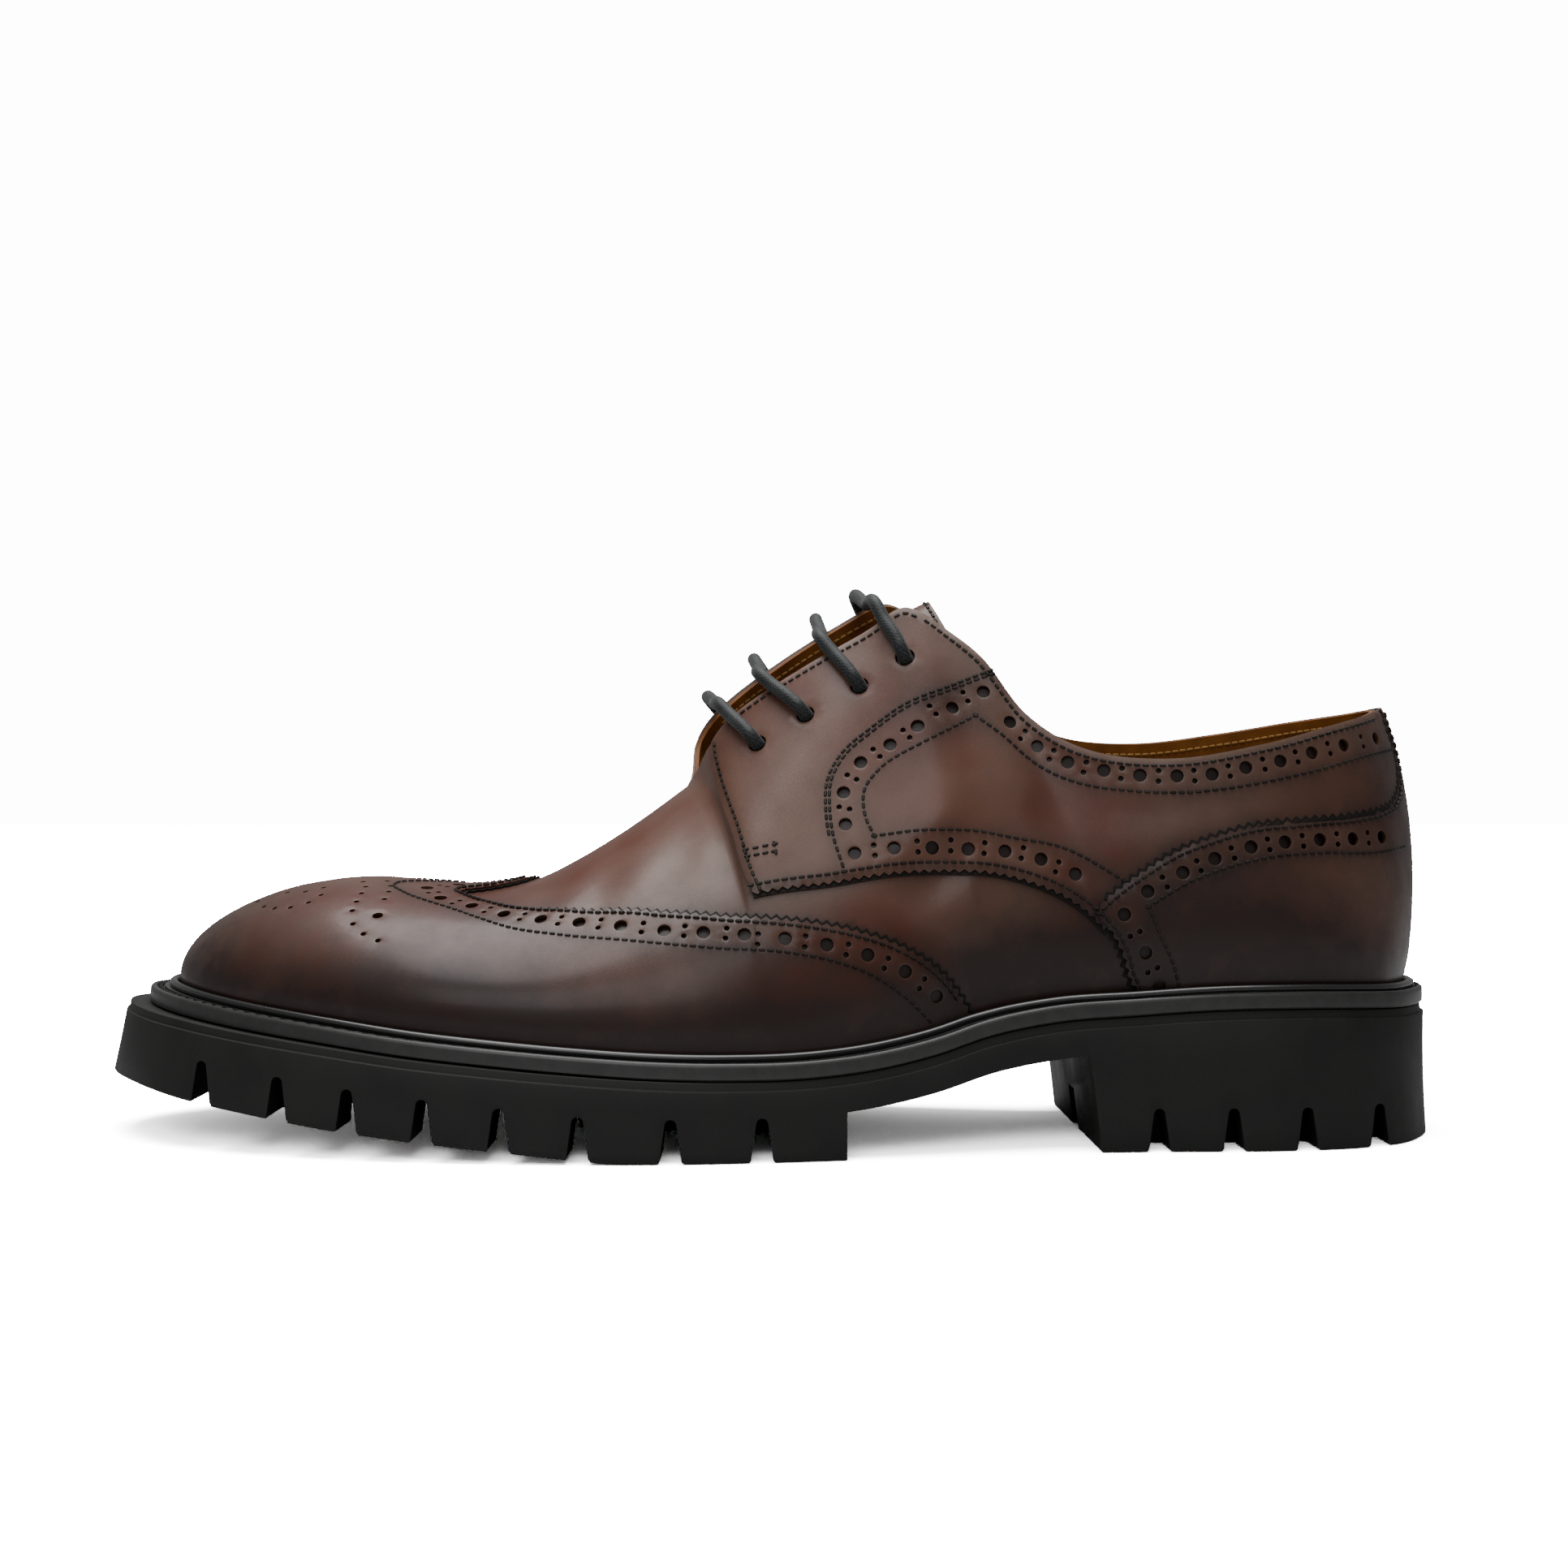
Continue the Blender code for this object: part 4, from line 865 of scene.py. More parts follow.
def makePanel(name, outline, holes, top, bottom, replaced, guide):
    # cut from the flat leather, holes punched, then laid back over the last with its thickness
    flatten, find = guide
    loops = [outline]
    loops += [ring(place, radius, count) for place, radius, count in holes]
    guard = np.concatenate([ring(place, radius + panelCut["guard"], count) for place, radius, count in holes])
    edge = np.concatenate(loops)
    flatLoops = [flatten(part[:, 0], part[:, 1]) for part in loops]
    low, high = flatLoops[0].min(0), flatLoops[0].max(0)
    fill = panelCut["spacing"]
    across = np.arange(low[0], high[0], fill)
    along = np.arange(low[1], high[1], fill * math.sqrt(3) / 2)
    gx, gy = np.meshgrid(across, along)
    gx = gx + (np.arange(len(along)) % 2 * fill / 2)[:, None]
    grid = np.stack([gx.ravel(), gy.ravel()], 1)
    grid = grid[insideOf(flatLoops[0], grid)]
    flatGuard = flatten(guard[:, 0], guard[:, 1])
    taken = treeOf(np.concatenate(flatLoops + [flatGuard]))
    grid = grid[distances(taken, grid) > 0.55 * fill]
    inner = find(grid)
    centres = [(lastPoint(*place), radius) for place, radius, _ in holes]
    holeCentres.extend(centre for centre, _ in centres)
    points = lastPoint(inner[:, 0], inner[:, 1])
    clear = np.ones(len(inner), bool)
    for centre, radius in centres:
        clear &= np.linalg.norm(points - centre, axis=1) > radius + panelCut["clear"]
    grid, inner = grid[clear], inner[clear]
    places = np.concatenate([edge, guard, inner])
    flat = np.concatenate([np.concatenate(flatLoops), flatGuard, grid])
    owner = np.full(len(flat), -1)
    edges, start = [], 0
    for k, part in enumerate(loops):
        count = len(part)
        edges += [(start + i, start + (i + 1) % count) for i in range(count)]
        owner[start:start + count] = k
        start += count
    made = delaunay_2d_cdt([Vector(p / mm) for p in flat], edges, [], 0, 1e-4, True)
    laid = np.array([tuple(v) for v in made[0]]) * mm
    kept = np.array([ids[0] if ids else -1 for ids in made[3]])
    place = places[np.maximum(kept, 0)]
    if (kept < 0).any():
        place[kept < 0] = find(laid[kept < 0])
    owner = np.where(kept < 0, -1, owner[np.maximum(kept, 0)])
    faces = np.array([face for face in made[2] if len(face) == 3])
    faces = faces[insideOf(flatLoops[0], laid[faces].mean(1))]
    owned = owner[faces]
    hollow = (owned[:, 0] > 0) & (owned[:, 0] == owned[:, 1]) & (owned[:, 1] == owned[:, 2])
    faces = faces[~hollow]
    used = np.unique(faces)
    number = -np.ones(len(place), int)
    number[used] = np.arange(len(used))
    faces, place, owner = number[faces], place[used], owner[used]
    border = treeOf(lastPoint(loops[0][:, 0], loops[0][:, 1]))
    rim = treeOf(lastPoint(edge[:, 0], edge[:, 1]))
    points = lastPoint(place[:, 0], place[:, 1])
    normals = lastNormal(place[:, 0], place[:, 1])
    # the outer edge is skived round, punched holes are nearly crisp
    nearEdge = np.clip(1 - distances(border, points) / panelCut["edgeWidth"], 0, 1)
    nearHole = np.clip(1 - distances(rim, points) / panelCut["holeWidth"], 0, 1)
    fall = np.maximum(panelCut["edgeFall"] * nearEdge**2, panelCut["holeFall"] * nearHole)
    lowBottom = bottom(place) if callable(bottom) else np.full(len(place), bottom)
    highTop = top(place) if callable(top) else np.full(len(place), top)
    crease = relief(place)
    upper = points + normals * (highTop + crease - fall)[:, None]
    lower = points + normals * (lowBottom + crease)[:, None]
    first = faces[0]
    turn = np.cross(points[first[1]] - points[first[0]], points[first[2]] - points[first[0]])
    if np.dot(turn, normals[first[0]]) < 0:
        faces = faces[:, ::-1]
    count = len(place)
    counted = {}
    for a, b, c in faces:
        for pair in ((a, b), (b, c), (c, a)):
            counted[pair] = counted.get(pair, 0) + 1
    walls = [(b, a, a + count, b + count) for a, b in counted if (b, a) not in counted]
    solid = [tuple(face) for face in faces] + [tuple(face[::-1] + count) for face in faces] + walls
    piece = newPiece(name, np.concatenate([upper, lower]), solid, calfMaterial, replaced, "calf_leather")
    depth = np.concatenate([place, place])
    shade = burnishAndShadeAt(depth)
    # painted shade: the underside is fully dark, so the cut walls darken towards their foot inside the holes
    # and under the edges
    shade[count:] = 1.0
    setAttribute(piece, "burnishAndShade", shade)
    setAttribute(piece, "warmth", warmthAt(depth))
    turnedIn = (place[:, 1] > panelCut["turnedFrom"]) & (place[:, 0] > throat)
    # hole rims get the light raw-edge colour, partly a painted highlight where the cut edge catches the light
    rawEdgeAndRimHighlight = np.where(owner > 0, panelCut["rawCutAndRimHighlight"], 0.0) + np.where(turnedIn, panelCut["bareTurned"], 0.0)
    setAttribute(piece, "rawEdgeAndRimHighlight", np.concatenate([rawEdgeAndRimHighlight, 0 * rawEdgeAndRimHighlight]))
    return piece


# Creases of wear: start and end as section and height share, half width and depth
creases = (
    ((10.6, 0.30), (11.6, 0.62), 3.2 * mm, 0.18 * mm),
    ((9.6, 0.34), (10.6, 0.74), 3.6 * mm, 0.16 * mm),
    ((8.6, 0.42), (9.4, 0.84), 4.0 * mm, 0.28 * mm),
    ((14.4, 0.27), (17.4, 0.31), 4.6 * mm, 0.85 * mm),
    ((14.3, 0.38), (17.2, 0.43), 4.6 * mm, -0.40 * mm),
    ((21.0, 0.75), (23.0, 0.80), 4.0 * mm, 0.25 * mm),
)


creasePoints = 40


def creaseGuides():
    made = []
    for start, end, width, depth in creases:
        line = np.linspace(start, end, creasePoints)
        for track in (line, mirrored(line)):
            made.append((treeOf(lastPoint(track[:, 0], track[:, 1])), width, depth))
    return made


creaseTrees = creaseGuides()


def relief(place):
    # soft troughs pressed into the leather, with a low ridge beside each
    points = lastPoint(place[:, 0], place[:, 1])
    total = np.zeros(len(place))
    for tree, width, depth in creaseTrees:
        found = [tree.find(Vector(p)) for p in points]
        away = np.array([hit[2] for hit in found]) / width
        share = np.array([hit[1] for hit in found]) / (creasePoints - 1)
        fade = np.sin(np.pi * share) ** 0.7
        total -= depth * fade * np.exp(-(away**2))
        total += 0.5 * depth * fade * np.exp(-((away - 2) ** 2))
    return total


# The cap's peak on the ridge, seen edge-on, as section and height share
wingPeak = {
    "edge": ((8.05, 1.0), (7.8, 0.955), (7.45, 0.92), (7.05, 0.885), (6.78, 0.86), (6.72, 0.83),
             (6.85, 0.80)),
    "holes": ((7.2, 1.0), (6.85, 0.95), (6.45, 0.905), (6.15, 0.86), (6.12, 0.81)),
    "seam": ((6.6, 1.0), (6.2, 0.965), (5.8, 0.92), (5.55, 0.87), (5.55, 0.81), (5.75, 0.765)),
}
tracks = {name: {key: bandTrack(name, key) for key in ("edge", "holes", "seam") if key in bands[name]}
          for name in bands}
for key, start in wingPeak.items():
    tracks["wing"][key] = softTrack(np.concatenate([start, cast(pixelCurve(bands["wing"][key]))]))
wingEnd = tracks["wing"]["edge"][-1, 0]
frontTrack = softTrack(cast(pixelCurve(facingFront)))
counterEdge = np.concatenate([
    [[tracks["counterFront"]["edge"][0, 0], -last["skirt"]]],
    tracks["counterFront"]["edge"], tracks["counter"]["edge"][2:], tracks["strip"]["edge"],
    [[tracks["strip"]["edge"][-1, 0], 1.0]],
])
print("bands traced")


def topLine(start, end, step=0.1):
    sections = np.arange(start, end, step if end > start else -step)
    return np.stack([sections, np.ones(len(sections))], 1)


def skirtLine(start, end, step=0.12):
    sections = np.arange(start, end, step if end > start else -step)
    return np.stack([sections % loop, np.full(len(sections), -last["skirt"])], 1)


facingTop = 12.55  # where the rounded front corner meets the facing's top
seams = []
for name, made in tracks.items():
    for key in ("edge", "seam"):
        if key in made:
            seams += [made[key], mirrored(made[key])]
seams += [frontTrack, mirrored(frontTrack)]
seamTree = treeOf(lastPoint(*np.concatenate([evenTrack(s, 1.5 * mm) for s in seams]).T))


def spots(points, table):
    total = np.zeros(len(points))
    for (x, z), radius, strength in table:
        away = np.hypot(points[:, 0] - x, (points[:, 2] - z) * 1.5)
        total += strength * np.exp(-((away / radius) ** 2))
    return total


# Strength of the burnish and of the painted shade, how far it fades, and where along the shoe it starts
burnishAndShadeTerms = {
    "seam": (0.38, 2.6 * mm),
    "foot": (0.88, 15 * mm),
    "toe": (0.95, 45 * mm, -0.078),
    "toeHeight": 30 * mm,
    "heel": (0.60, 22 * mm, 0.128),
    "top": (0.35, 0.06, 0.030),
}


def burnishAndShadeAt(place):
    # dark where the maker burnished: along seams, round toe and heel; above the welt it is partly burnish and
    # partly painted shade of the lower sides
    points = lastPoint(place[:, 0], place[:, 1])
    x = points[:, 0]
    strength, fade = burnishAndShadeTerms["seam"]
    seam = strength * np.exp(-distances(seamTree, points) / fade)
    low = points[:, 2] - lastPoint(place[:, 0], np.zeros(len(place)))[:, 2]
    # painted shade, in part: darker towards the welt, as the lower sides turn away from the top light
    strength, fade = burnishAndShadeTerms["foot"]
    foot = strength * np.exp(-((np.maximum(low, 0) / fade) ** 1.5))
    strength, fade, start = burnishAndShadeTerms["toe"]
    toe = strength * np.clip((start - x) / fade, 0, 1) * np.clip(1.15 - low / burnishAndShadeTerms["toeHeight"], 0, 1)
    strength, fade, start = burnishAndShadeTerms["heel"]
    heel = strength * np.clip((x - start) / fade, 0, 1)
    strength, fade, start = burnishAndShadeTerms["top"]
    top = strength * np.exp(-np.maximum(1 - place[:, 1], 0) / fade) * (x > start)
    return np.clip(seam + spots(points, darkSpots) + np.maximum.reduce([foot, toe, heel, top]), 0, 1)


# Patches as centre along and up, radius and strength: darker patches, and places where the tan dye shows
darkSpots = (
    ((0.058, 0.040), 0.022, 0.70),
    ((0.041, 0.100), 0.013, 0.50),
    ((0.098, 0.058), 0.026, 0.55),
    ((0.128, 0.078), 0.022, 0.35),
    ((0.062, 0.078), 0.012, 0.22),
    ((-0.070, 0.032), 0.034, 0.55),
    ((-0.010, 0.052), 0.016, 0.25),
    ((0.000, 0.030), 0.026, 0.40),
    ((0.120, 0.044), 0.022, 0.45),
)
warmSpots = (
    ((-0.075, 0.047), 0.032, 0.65),
    ((-0.035, 0.037), 0.030, 0.35),
    ((0.008, 0.037), 0.024, 0.55),
    ((0.045, 0.075), 0.030, 0.55),
    ((0.030, 0.050), 0.018, 0.35),
    ((0.105, 0.055), 0.030, 0.60),
    ((0.130, 0.080), 0.018, 0.45),
    ((0.022, 0.098), 0.014, 0.40),
)


def warmthAt(place):
    return np.clip(spots(lastPoint(place[:, 0], place[:, 1]), warmSpots), 0, 1)


panelLeather = {"thickness": 1.2 * mm, "bottom": 0.1 * mm, "top": 1.4 * mm, "counterTop": 1.85 * mm}


def wingCap():
    edge = pinked(tracks["wing"]["edge"])
    outline = np.concatenate([edge, skirtLine(wingEnd, -wingEnd), mirrored(edge)[::-1][:-1]])
    side = cast(bands["wing"]["holes"])
    front = evenTrack(softTrack(np.concatenate([wingPeak["holes"], side[:1]])), 9.4 * mm)
    holes = punchedAlong(np.concatenate([front[:-1], side]))
    holes = spaced(holes + farSide(holes) + medallion())
    return makePanel("wingCap", outline, holes, panelLeather["top"], panelLeather["bottom"],
                     ["wing_cap"], toeGuide)


medallionBig = ((382, 1093), (466, 1134))
medallionSmall = (
    (400, 1100), (378, 1105), (397, 1109), (382, 1118), (360, 1124), (341, 1125), (328, 1123), (320, 1117),
    (320, 1108), (356, 1106), (352, 1101), (358, 1093), (373, 1088), (395, 1083), (414, 1083), (430, 1084),
    (443, 1088), (448, 1093), (451, 1099), (446, 1107), (440, 1117), (435, 1128), (436, 1144), (449, 1156),
    (467, 1164), (471, 1087), (477, 1092), (481, 1098), (479, 1105), (474, 1114),
)


def medallion():
    holes = [(place, punch["big"] * 0.8, punch["bigSides"]) for place in cast(medallionBig)]
    holes += [(place, punch["small"], punch["smallSides"]) for place in cast(medallionSmall)]
    return holes + farSide(holes)


def farSide(holes):
    return [(mirrored(np.array([place]))[0], radius, count) for place, radius, count in holes]


def spaced(holes):
    # a hole that would touch one already punched is left out
    kept, centres = [], []
    for place, radius, count in holes:
        centre = lastPoint(*place)
        if all(np.linalg.norm(centre - c) > radius + r + 0.5 * mm for c, r in centres):
            kept.append((place, radius, count))
            centres.append((centre, radius))
    return kept


def quarterOutline():
    # it runs a little way under the counter
    corner = tracks["quarter"]["edge"][-1]
    away = np.linalg.norm(lastPoint(*counterEdge.T) - lastPoint(*corner), axis=1)
    under = shifted(counterEdge[np.argmin(away) + 3:-1], -3.0 * mm)
    under = np.concatenate([under[(under[:, 1] < 0.96) & (under[:, 0] < 25.78)], [[25.76, 0.985]]])
    top = topLine(25.75, facingTop)
    corner = softTrack(np.array([[facingTop, 1.0], [12.22, 0.985], frontTrack[4]]))
    low = pinked(tracks["quarter"]["edge"])
    corner = resampled(corner)[1:-1]
    return np.concatenate([resampled(frontTrack[6:]), low[1:-1], resampled(under), top, corner])


eyelets = {"sections": (13.04, 13.81, 14.66, 15.96), "inset": 12.8 * mm, "radius": 2.2 * mm, "sides": 16}


def eyeletPlace(section):
    ups = np.linspace(0.5, 1.0, 101)
    at = lengthsOf(np.stack([np.full(len(ups), section), ups], 1))
    return np.array([section, float(np.interp(at[-1] - eyelets["inset"], at, ups))])


def quarters():
    outline = quarterOutline()
    holes = [(eyeletPlace(k), eyelets["radius"], eyelets["sides"]) for k in eyelets["sections"]]
    for name in ("quarter", "facing", "collar"):
        holes += punchedAlong(cast(bands[name]["holes"]))
    holes = spaced(holes)
    for name, line, cuts, replaced in (
        ("quarterOuter", outline, holes, "quarter_outer"),
        ("quarterInner", mirrored(outline), farSide(holes), "quarter_inner"),
    ):
        makePanel(name, line, cuts, panelLeather["top"], panelLeather["bottom"], [replaced], sideGuide)


def counterTop(place):
    # lies over the quarters, and thins out behind the bead
    share = np.clip(place[:, 1] / 0.12, 0, 1)
    return panelLeather["top"] + share * (panelLeather["counterTop"] - panelLeather["top"])


def counterBottom(place):
    return counterTop(place) - panelLeather["thickness"]


def heelCounter():
    edge = pinked(counterEdge[1:-1])
    edge = np.concatenate([counterEdge[:1], edge, counterEdge[-1:]])
    outline = np.concatenate([
        edge, topLine(counterEdge[-1, 0] + 0.05, loop - counterEdge[-1, 0], 0.05),
        mirrored(edge)[::-1], skirtLine(loop - counterEdge[0, 0] - 0.1, counterEdge[0, 0]),
    ])
    holes = punchedAlong(cast(bands["counter"]["holes"])) + punchedAlong(cast(bands["counterFront"]["holes"]))
    holes += punchedAlong(cast(bands["strip"]["holes"]), pairs=False)
    holes = spaced(holes + farSide(holes))
    return makePanel("heelCounter", outline, holes, counterTop, counterBottom, ["counter"], sideGuide)


shellColumns = 6  # from one section of the net to the next


def shell(name, ups, outerLift, innerLift, material, replaced, slotName):
    # closed sheet over the whole last, open at the throat and collar and underneath
    sections = np.linspace(0, loop, loop * shellColumns, endpoint=False)
    s, u = np.meshgrid(sections, ups, indexing="ij")
    flat = np.stack([s.ravel(), u.ravel()], 1)
    points = lastPoint(flat[:, 0], flat[:, 1])
    normals = lastNormal(flat[:, 0], flat[:, 1])
    crease = relief(flat)
    outer = points + normals * (outerLift + crease)[:, None]
    inner = points + normals * (innerLift + crease)[:, None]
    count, wide = len(flat), len(ups)
    faces = []
    for i in range(len(sections)):
        j = (i + 1) % len(sections)
        parted = throat - 1 <= sections[i] < loop - throat + 1
        for k in range(wide - 1):
            a, b = i * wide + k, j * wide + k
            faces.append((a, b, b + 1, a + 1))
            faces.append((a + count, a + 1 + count, b + 1 + count, b + count))
        a, b = i * wide, j * wide
        faces.append((b, a, a + count, b + count))
        if parted:
            a, b = i * wide + wide - 1, j * wide + wide - 1
            faces.append((a, b, b + count, a + count))
    piece = newPiece(name, np.concatenate([outer, inner]), faces, material, replaced, slotName)
    if material is calfMaterial:
        # painted shade: the sheet is darkened to full under and round every punched hole, so the holes look
        # deep
        hidden = distances(treeOf(np.array(holeCentres)), points)
        shade = np.maximum(burnishAndShadeAt(flat), np.clip((5.0 * mm - hidden) / (1.2 * mm), 0, 1))
        setAttribute(piece, "burnishAndShade", np.concatenate([shade, shade]))
        setAttribute(piece, "warmth", warmthAt(np.concatenate([flat, flat])))
    mesh = bmesh.new()
    mesh.from_mesh(piece.data)
    bmesh.ops.remove_doubles(mesh, verts=mesh.verts, dist=0.01 * mm)
    mesh.to_mesh(piece.data)
    mesh.free()
    piece.data.shade_smooth()
    piece.data.set_sharp_from_angle(angle=math.radians(50))
    return piece


stitch = {
    "pitch": 1.9 * mm,
    "length": 1.7 * mm,
    "radius": 0.42 * mm,
    "sides": 6,
    "rings": ((-0.62, 0.85), (0.62, 0.85)),  # place along half a stitch, share of its radius
}


def stitchRow(track, lift):
    walk = evenTrack(track, stitch["pitch"])
    points, ahead, across, normal = frameAlong(walk)
    height = lift(walk) if callable(lift) else lift
    lifted = points + normal * (np.asarray(height) + relief(walk) + 0.1 * stitch["radius"]).reshape(-1, 1)
    return threadsAt(lifted, ahead, across, normal, stitch)


def threadsAt(centres, ahead, across, normal, kind):
    # short threads, round in the middle and drawn into their holes at both ends
    half, radius, sides = kind["length"] / 2, kind["radius"], kind["sides"]
    angles = np.arange(sides) * math.tau / sides
    shape = [(-half, 0.0, -0.5 * radius)]
    for along, size in kind["rings"]:
        shape += [(along * half, math.cos(a) * radius * size, math.sin(a) * radius * size) for a in angles]
    shape = np.array(shape + [(half, 0.0, -0.5 * radius)])
    tip, end = len(shape) - 1, len(shape) - 1 - sides
    faces = [(0, 1 + (k + 1) % sides, 1 + k) for k in range(sides)]
    faces += [tuple(1 + k for k in face) for face in bandFaces(len(kind["rings"]), sides)]
    faces += [(tip, end + k, end + (k + 1) % sides) for k in range(sides)]
    places = (
        centres[:, None, :]
        + shape[None, :, :1] * ahead[:, None, :]
        + shape[None, :, 1:2] * across[:, None, :]
        + shape[None, :, 2:] * normal[:, None, :]
    )
    made = [tuple(len(shape) * k + f for f in face) for k in range(len(centres)) for face in faces]
    return places.reshape(-1, 3), made


def joinRows(name, rows, material, slotName):
    piece = newPiece(name, *joined(rows), material, (), slotName)
    turnOutward(piece.data)
    return piece


def uppersStitches():
    top = panelLeather["top"]
    near = 1.5 * mm
    facingTopRow = topLine(12.6, 17.2)
    rows = [
        (shifted(tracks["wing"]["edge"][10:-14], -near), top),
        (tracks["wing"]["seam"], top),
        (shifted(tracks["quarter"]["edge"], near), top),
        (tracks["quarter"]["seam"], top),
        (tracks["facing"]["edge"], top),
        (shifted(tracks["facing"]["edge"][:-20], -0.9 * mm), top),
        (tracks["facing"]["seam"], top),
        (tracks["collar"]["seam"], top),
        (shifted(topLine(17.6, 25.2), -1.6 * mm), top),
        (shifted(facingTopRow, -1.8 * mm), top),
        (shifted(frontTrack[8:], 1.8 * mm), top),
        (shifted(counterEdge[2:-2], -near), counterTop),
        (tracks["counter"]["seam"], counterTop),
        (tracks["counterFront"]["seam"], counterTop),
    ]
    both = []
    for track, lift in rows:
        both += [stitchRow(track, lift), stitchRow(mirrored(track), lift)]
    both += [stitchRow(softTrack(cast(pair)), top) for pair in barTack]
    return joinRows("upperStitching", both, threadMaterial, "calf_leather")


barTack = (((921, 1050), (956, 1043)), ((923, 1058), (955, 1052)), ((955, 1043), (957, 1053)))


inkAndShadowStrip = {"out": 0.90 * mm, "in": 1.2 * mm, "lift": 0.55 * mm, "onQuarter": 1.5 * mm}


def inkAndShadowLift(walk):
    # the counter's edge lies on the quarter above its front corner
    high = (walk[:, 0] > 20.5) & (walk[:, 0] < loop - 20.5) & (walk[:, 1] > 0.26)
    return np.where(high, inkAndShadowStrip["onQuarter"], inkAndShadowStrip["lift"])


def inkAndShadowEdges():
    # dark underlay that peeps out beyond every pinked line, cut to the same teeth: partly the inked underlay,
    # partly a painted shadow under the pinked edge
    points, faces = [], []
    for track in (tracks["wing"]["edge"], tracks["quarter"]["edge"], counterEdge[1:-1]):
        steps = 2 * max(2, round(lengthsOf(track)[-1] / toothPitch))
        walk = evenTrack(track, count=steps + 1)
        count = len(walk)
        outer = shifted(walk, inkAndShadowStrip["out"])
        outer[1::2] = shifted(walk, -0.1 * mm)[1::2]
        inner = shifted(walk, -inkAndShadowStrip["in"])
        for line, edge in (((inner, outer), 1), ((mirrored(outer), mirrored(inner)), 0)):
            base = sum(len(p) for p in points)
            for row in line:
                lift = inkAndShadowLift(row) + relief(row)
                points.append(lastPoint(*row.T) + lastNormal(*row.T) * lift[:, None])
            rim = line[edge]
            sunk = inkAndShadowLift(rim) - inkAndShadowStrip["lift"] - 0.1 * mm + relief(rim)
            points.append(lastPoint(*rim.T) + lastNormal(*rim.T) * sunk[:, None])
            for k in range(count - 1):
                faces.append((base + k, base + k + 1, base + count + k + 1, base + count + k))
                a, b = base + edge * count + k, base + 2 * count + k
                faces.append((a, a + 1, b + 1, b) if edge else (b, b + 1, a + 1, a))
    newPiece("inkedPinkingAndShadow", np.concatenate(points), faces, inkAndShadowMaterial, (), "calf_leather")


def makeUpper():
    ups = np.concatenate([np.linspace(-last["skirt"], 0, 3)[:-1], np.linspace(0, 1, 49)])
    wingCap()
    quarters()
    heelCounter()
    shell("upperVamp", ups, 0.0, -0.5 * mm, calfMaterial, ["upper"], "calf_leather")
    shell("upperLining", ups, -0.55 * mm, -1.5 * mm, liningMaterial, [], "lining_leather")
    inkAndShadowEdges()
    uppersStitches()
    inside = [shifted(topLine(12.7, 17.4), -2.4 * mm), shifted(topLine(18.0, 25.4), -2.4 * mm)]
    rows = [stitchRow(row, -1.5 * mm) for track in inside for row in (track, mirrored(track))]
    joinRows("liningStitching", rows, tanThread, "lining_leather")
    print("upper dressed")


makeUpper()


# One moulded sole with its heel: reaches, lugs and hollows, in metres
sole = {
    "rim": 8.4 * mm,
    "shoulder": 5.5 * mm,
    "flare": 3.4 * mm,
    "innerEdge": 0.93,
    "step": 1.0 * mm,
    "toeSpring": 14.0 * mm,
    "heelLength": 84.3 * mm,
    "heelSkew": 4.2 * mm,
    "treadLength": 175.0 * mm,
    "waist": 7.8 * mm,
    "lugHeight": 9.5 * mm,
    "lugDepth": 16.5 * mm,
    "notchMouth": 4.8 * mm,
    "notchRoot": 2.6 * mm,
    "heelNotchDepth": 13.0 * mm,
    "recess": 7.5 * mm,
    "centreLug": (10.5 * mm, 18.0 * mm),
    "channel": 9.0 * mm,
    "edgeRound": 0.4 * mm,
    "rings": 260,
}
treadNotches = (0.047, 0.112, 0.168, 0.226, 0.284, 0.343, 0.412, 0.480)
heelNotches = (0.178, 0.376, 0.575, 0.784)
ringSections = np.linspace(0, loop, sole["rings"] + 1)[:-1]
heelBack = frontX + last["length"] + last["heelReach"]
breastX = heelBack - sole["heelLength"]
treadBack = frontX - last["toeReach"] + sole["treadLength"]


def edgeReach(k):
    turned = np.where(ringSections > sideCount, loop - ringSections, ringSections)
    value = curveThrough(column(edgeRows, 0), column(edgeRows, k), turned)
    fade = np.clip(np.minimum(turned, sideCount - turned) / 6.0, 0.0, 1.0)
    return value * np.where(ringSections > sideCount, 1 - fade * (1 - sole["innerEdge"]), 1.0)


feather = lastPoint(ringSections, 0 * ringSections)
featherOut = levelNormals(feather)
rimReach = sole["rim"] * edgeReach(1)
soleReach = rimReach + sole["shoulder"] * edgeReach(2)


def ringAt(reach, z):
    placed = feather + featherOut * (np.asarray(reach) + 0 * rimReach)[:, None]
    placed[:, 2] = z
    return placed


def treadHeight(x):
    share = (np.asarray(x) - frontX) / last["length"]
    return sole["toeSpring"] * curveThrough(column(treadRows, 0), column(treadRows, 1), share)


def stackedRings(rings):
    # rings joined by quads, both ends closed by strips that run straight across
    count, half = len(ringSections), len(ringSections) // 2
    faces = bandFaces(len(rings), count)
    for base, turn in ((0, 1), ((len(rings) - 1) * count, -1)):
        for i in range(half):
            corners = [base + i, base + i + 1, base + (count - i - 1) % count, base + (count - i) % count]
            faces.append(tuple(dict.fromkeys(corners))[::-turn])
    return np.concatenate(rings), faces


def prism(profile, near, far):
    count = len(profile)
    points = [(a, near, z) for a, b, z in profile] + [(b, far, z) for a, b, z in profile]
    faces = [tuple(range(count)), tuple(range(2 * count - 1, count - 1, -1))]
    faces += [(i, i + count, (i + 1) % count + count, (i + 1) % count) for i in range(count)]
    return points, faces


def solidOf(name, parts):
    # plain mesh object with its faces turned outward
    made = meshObject(name, *joined(parts))
    turnOutward(made.data)
    return made


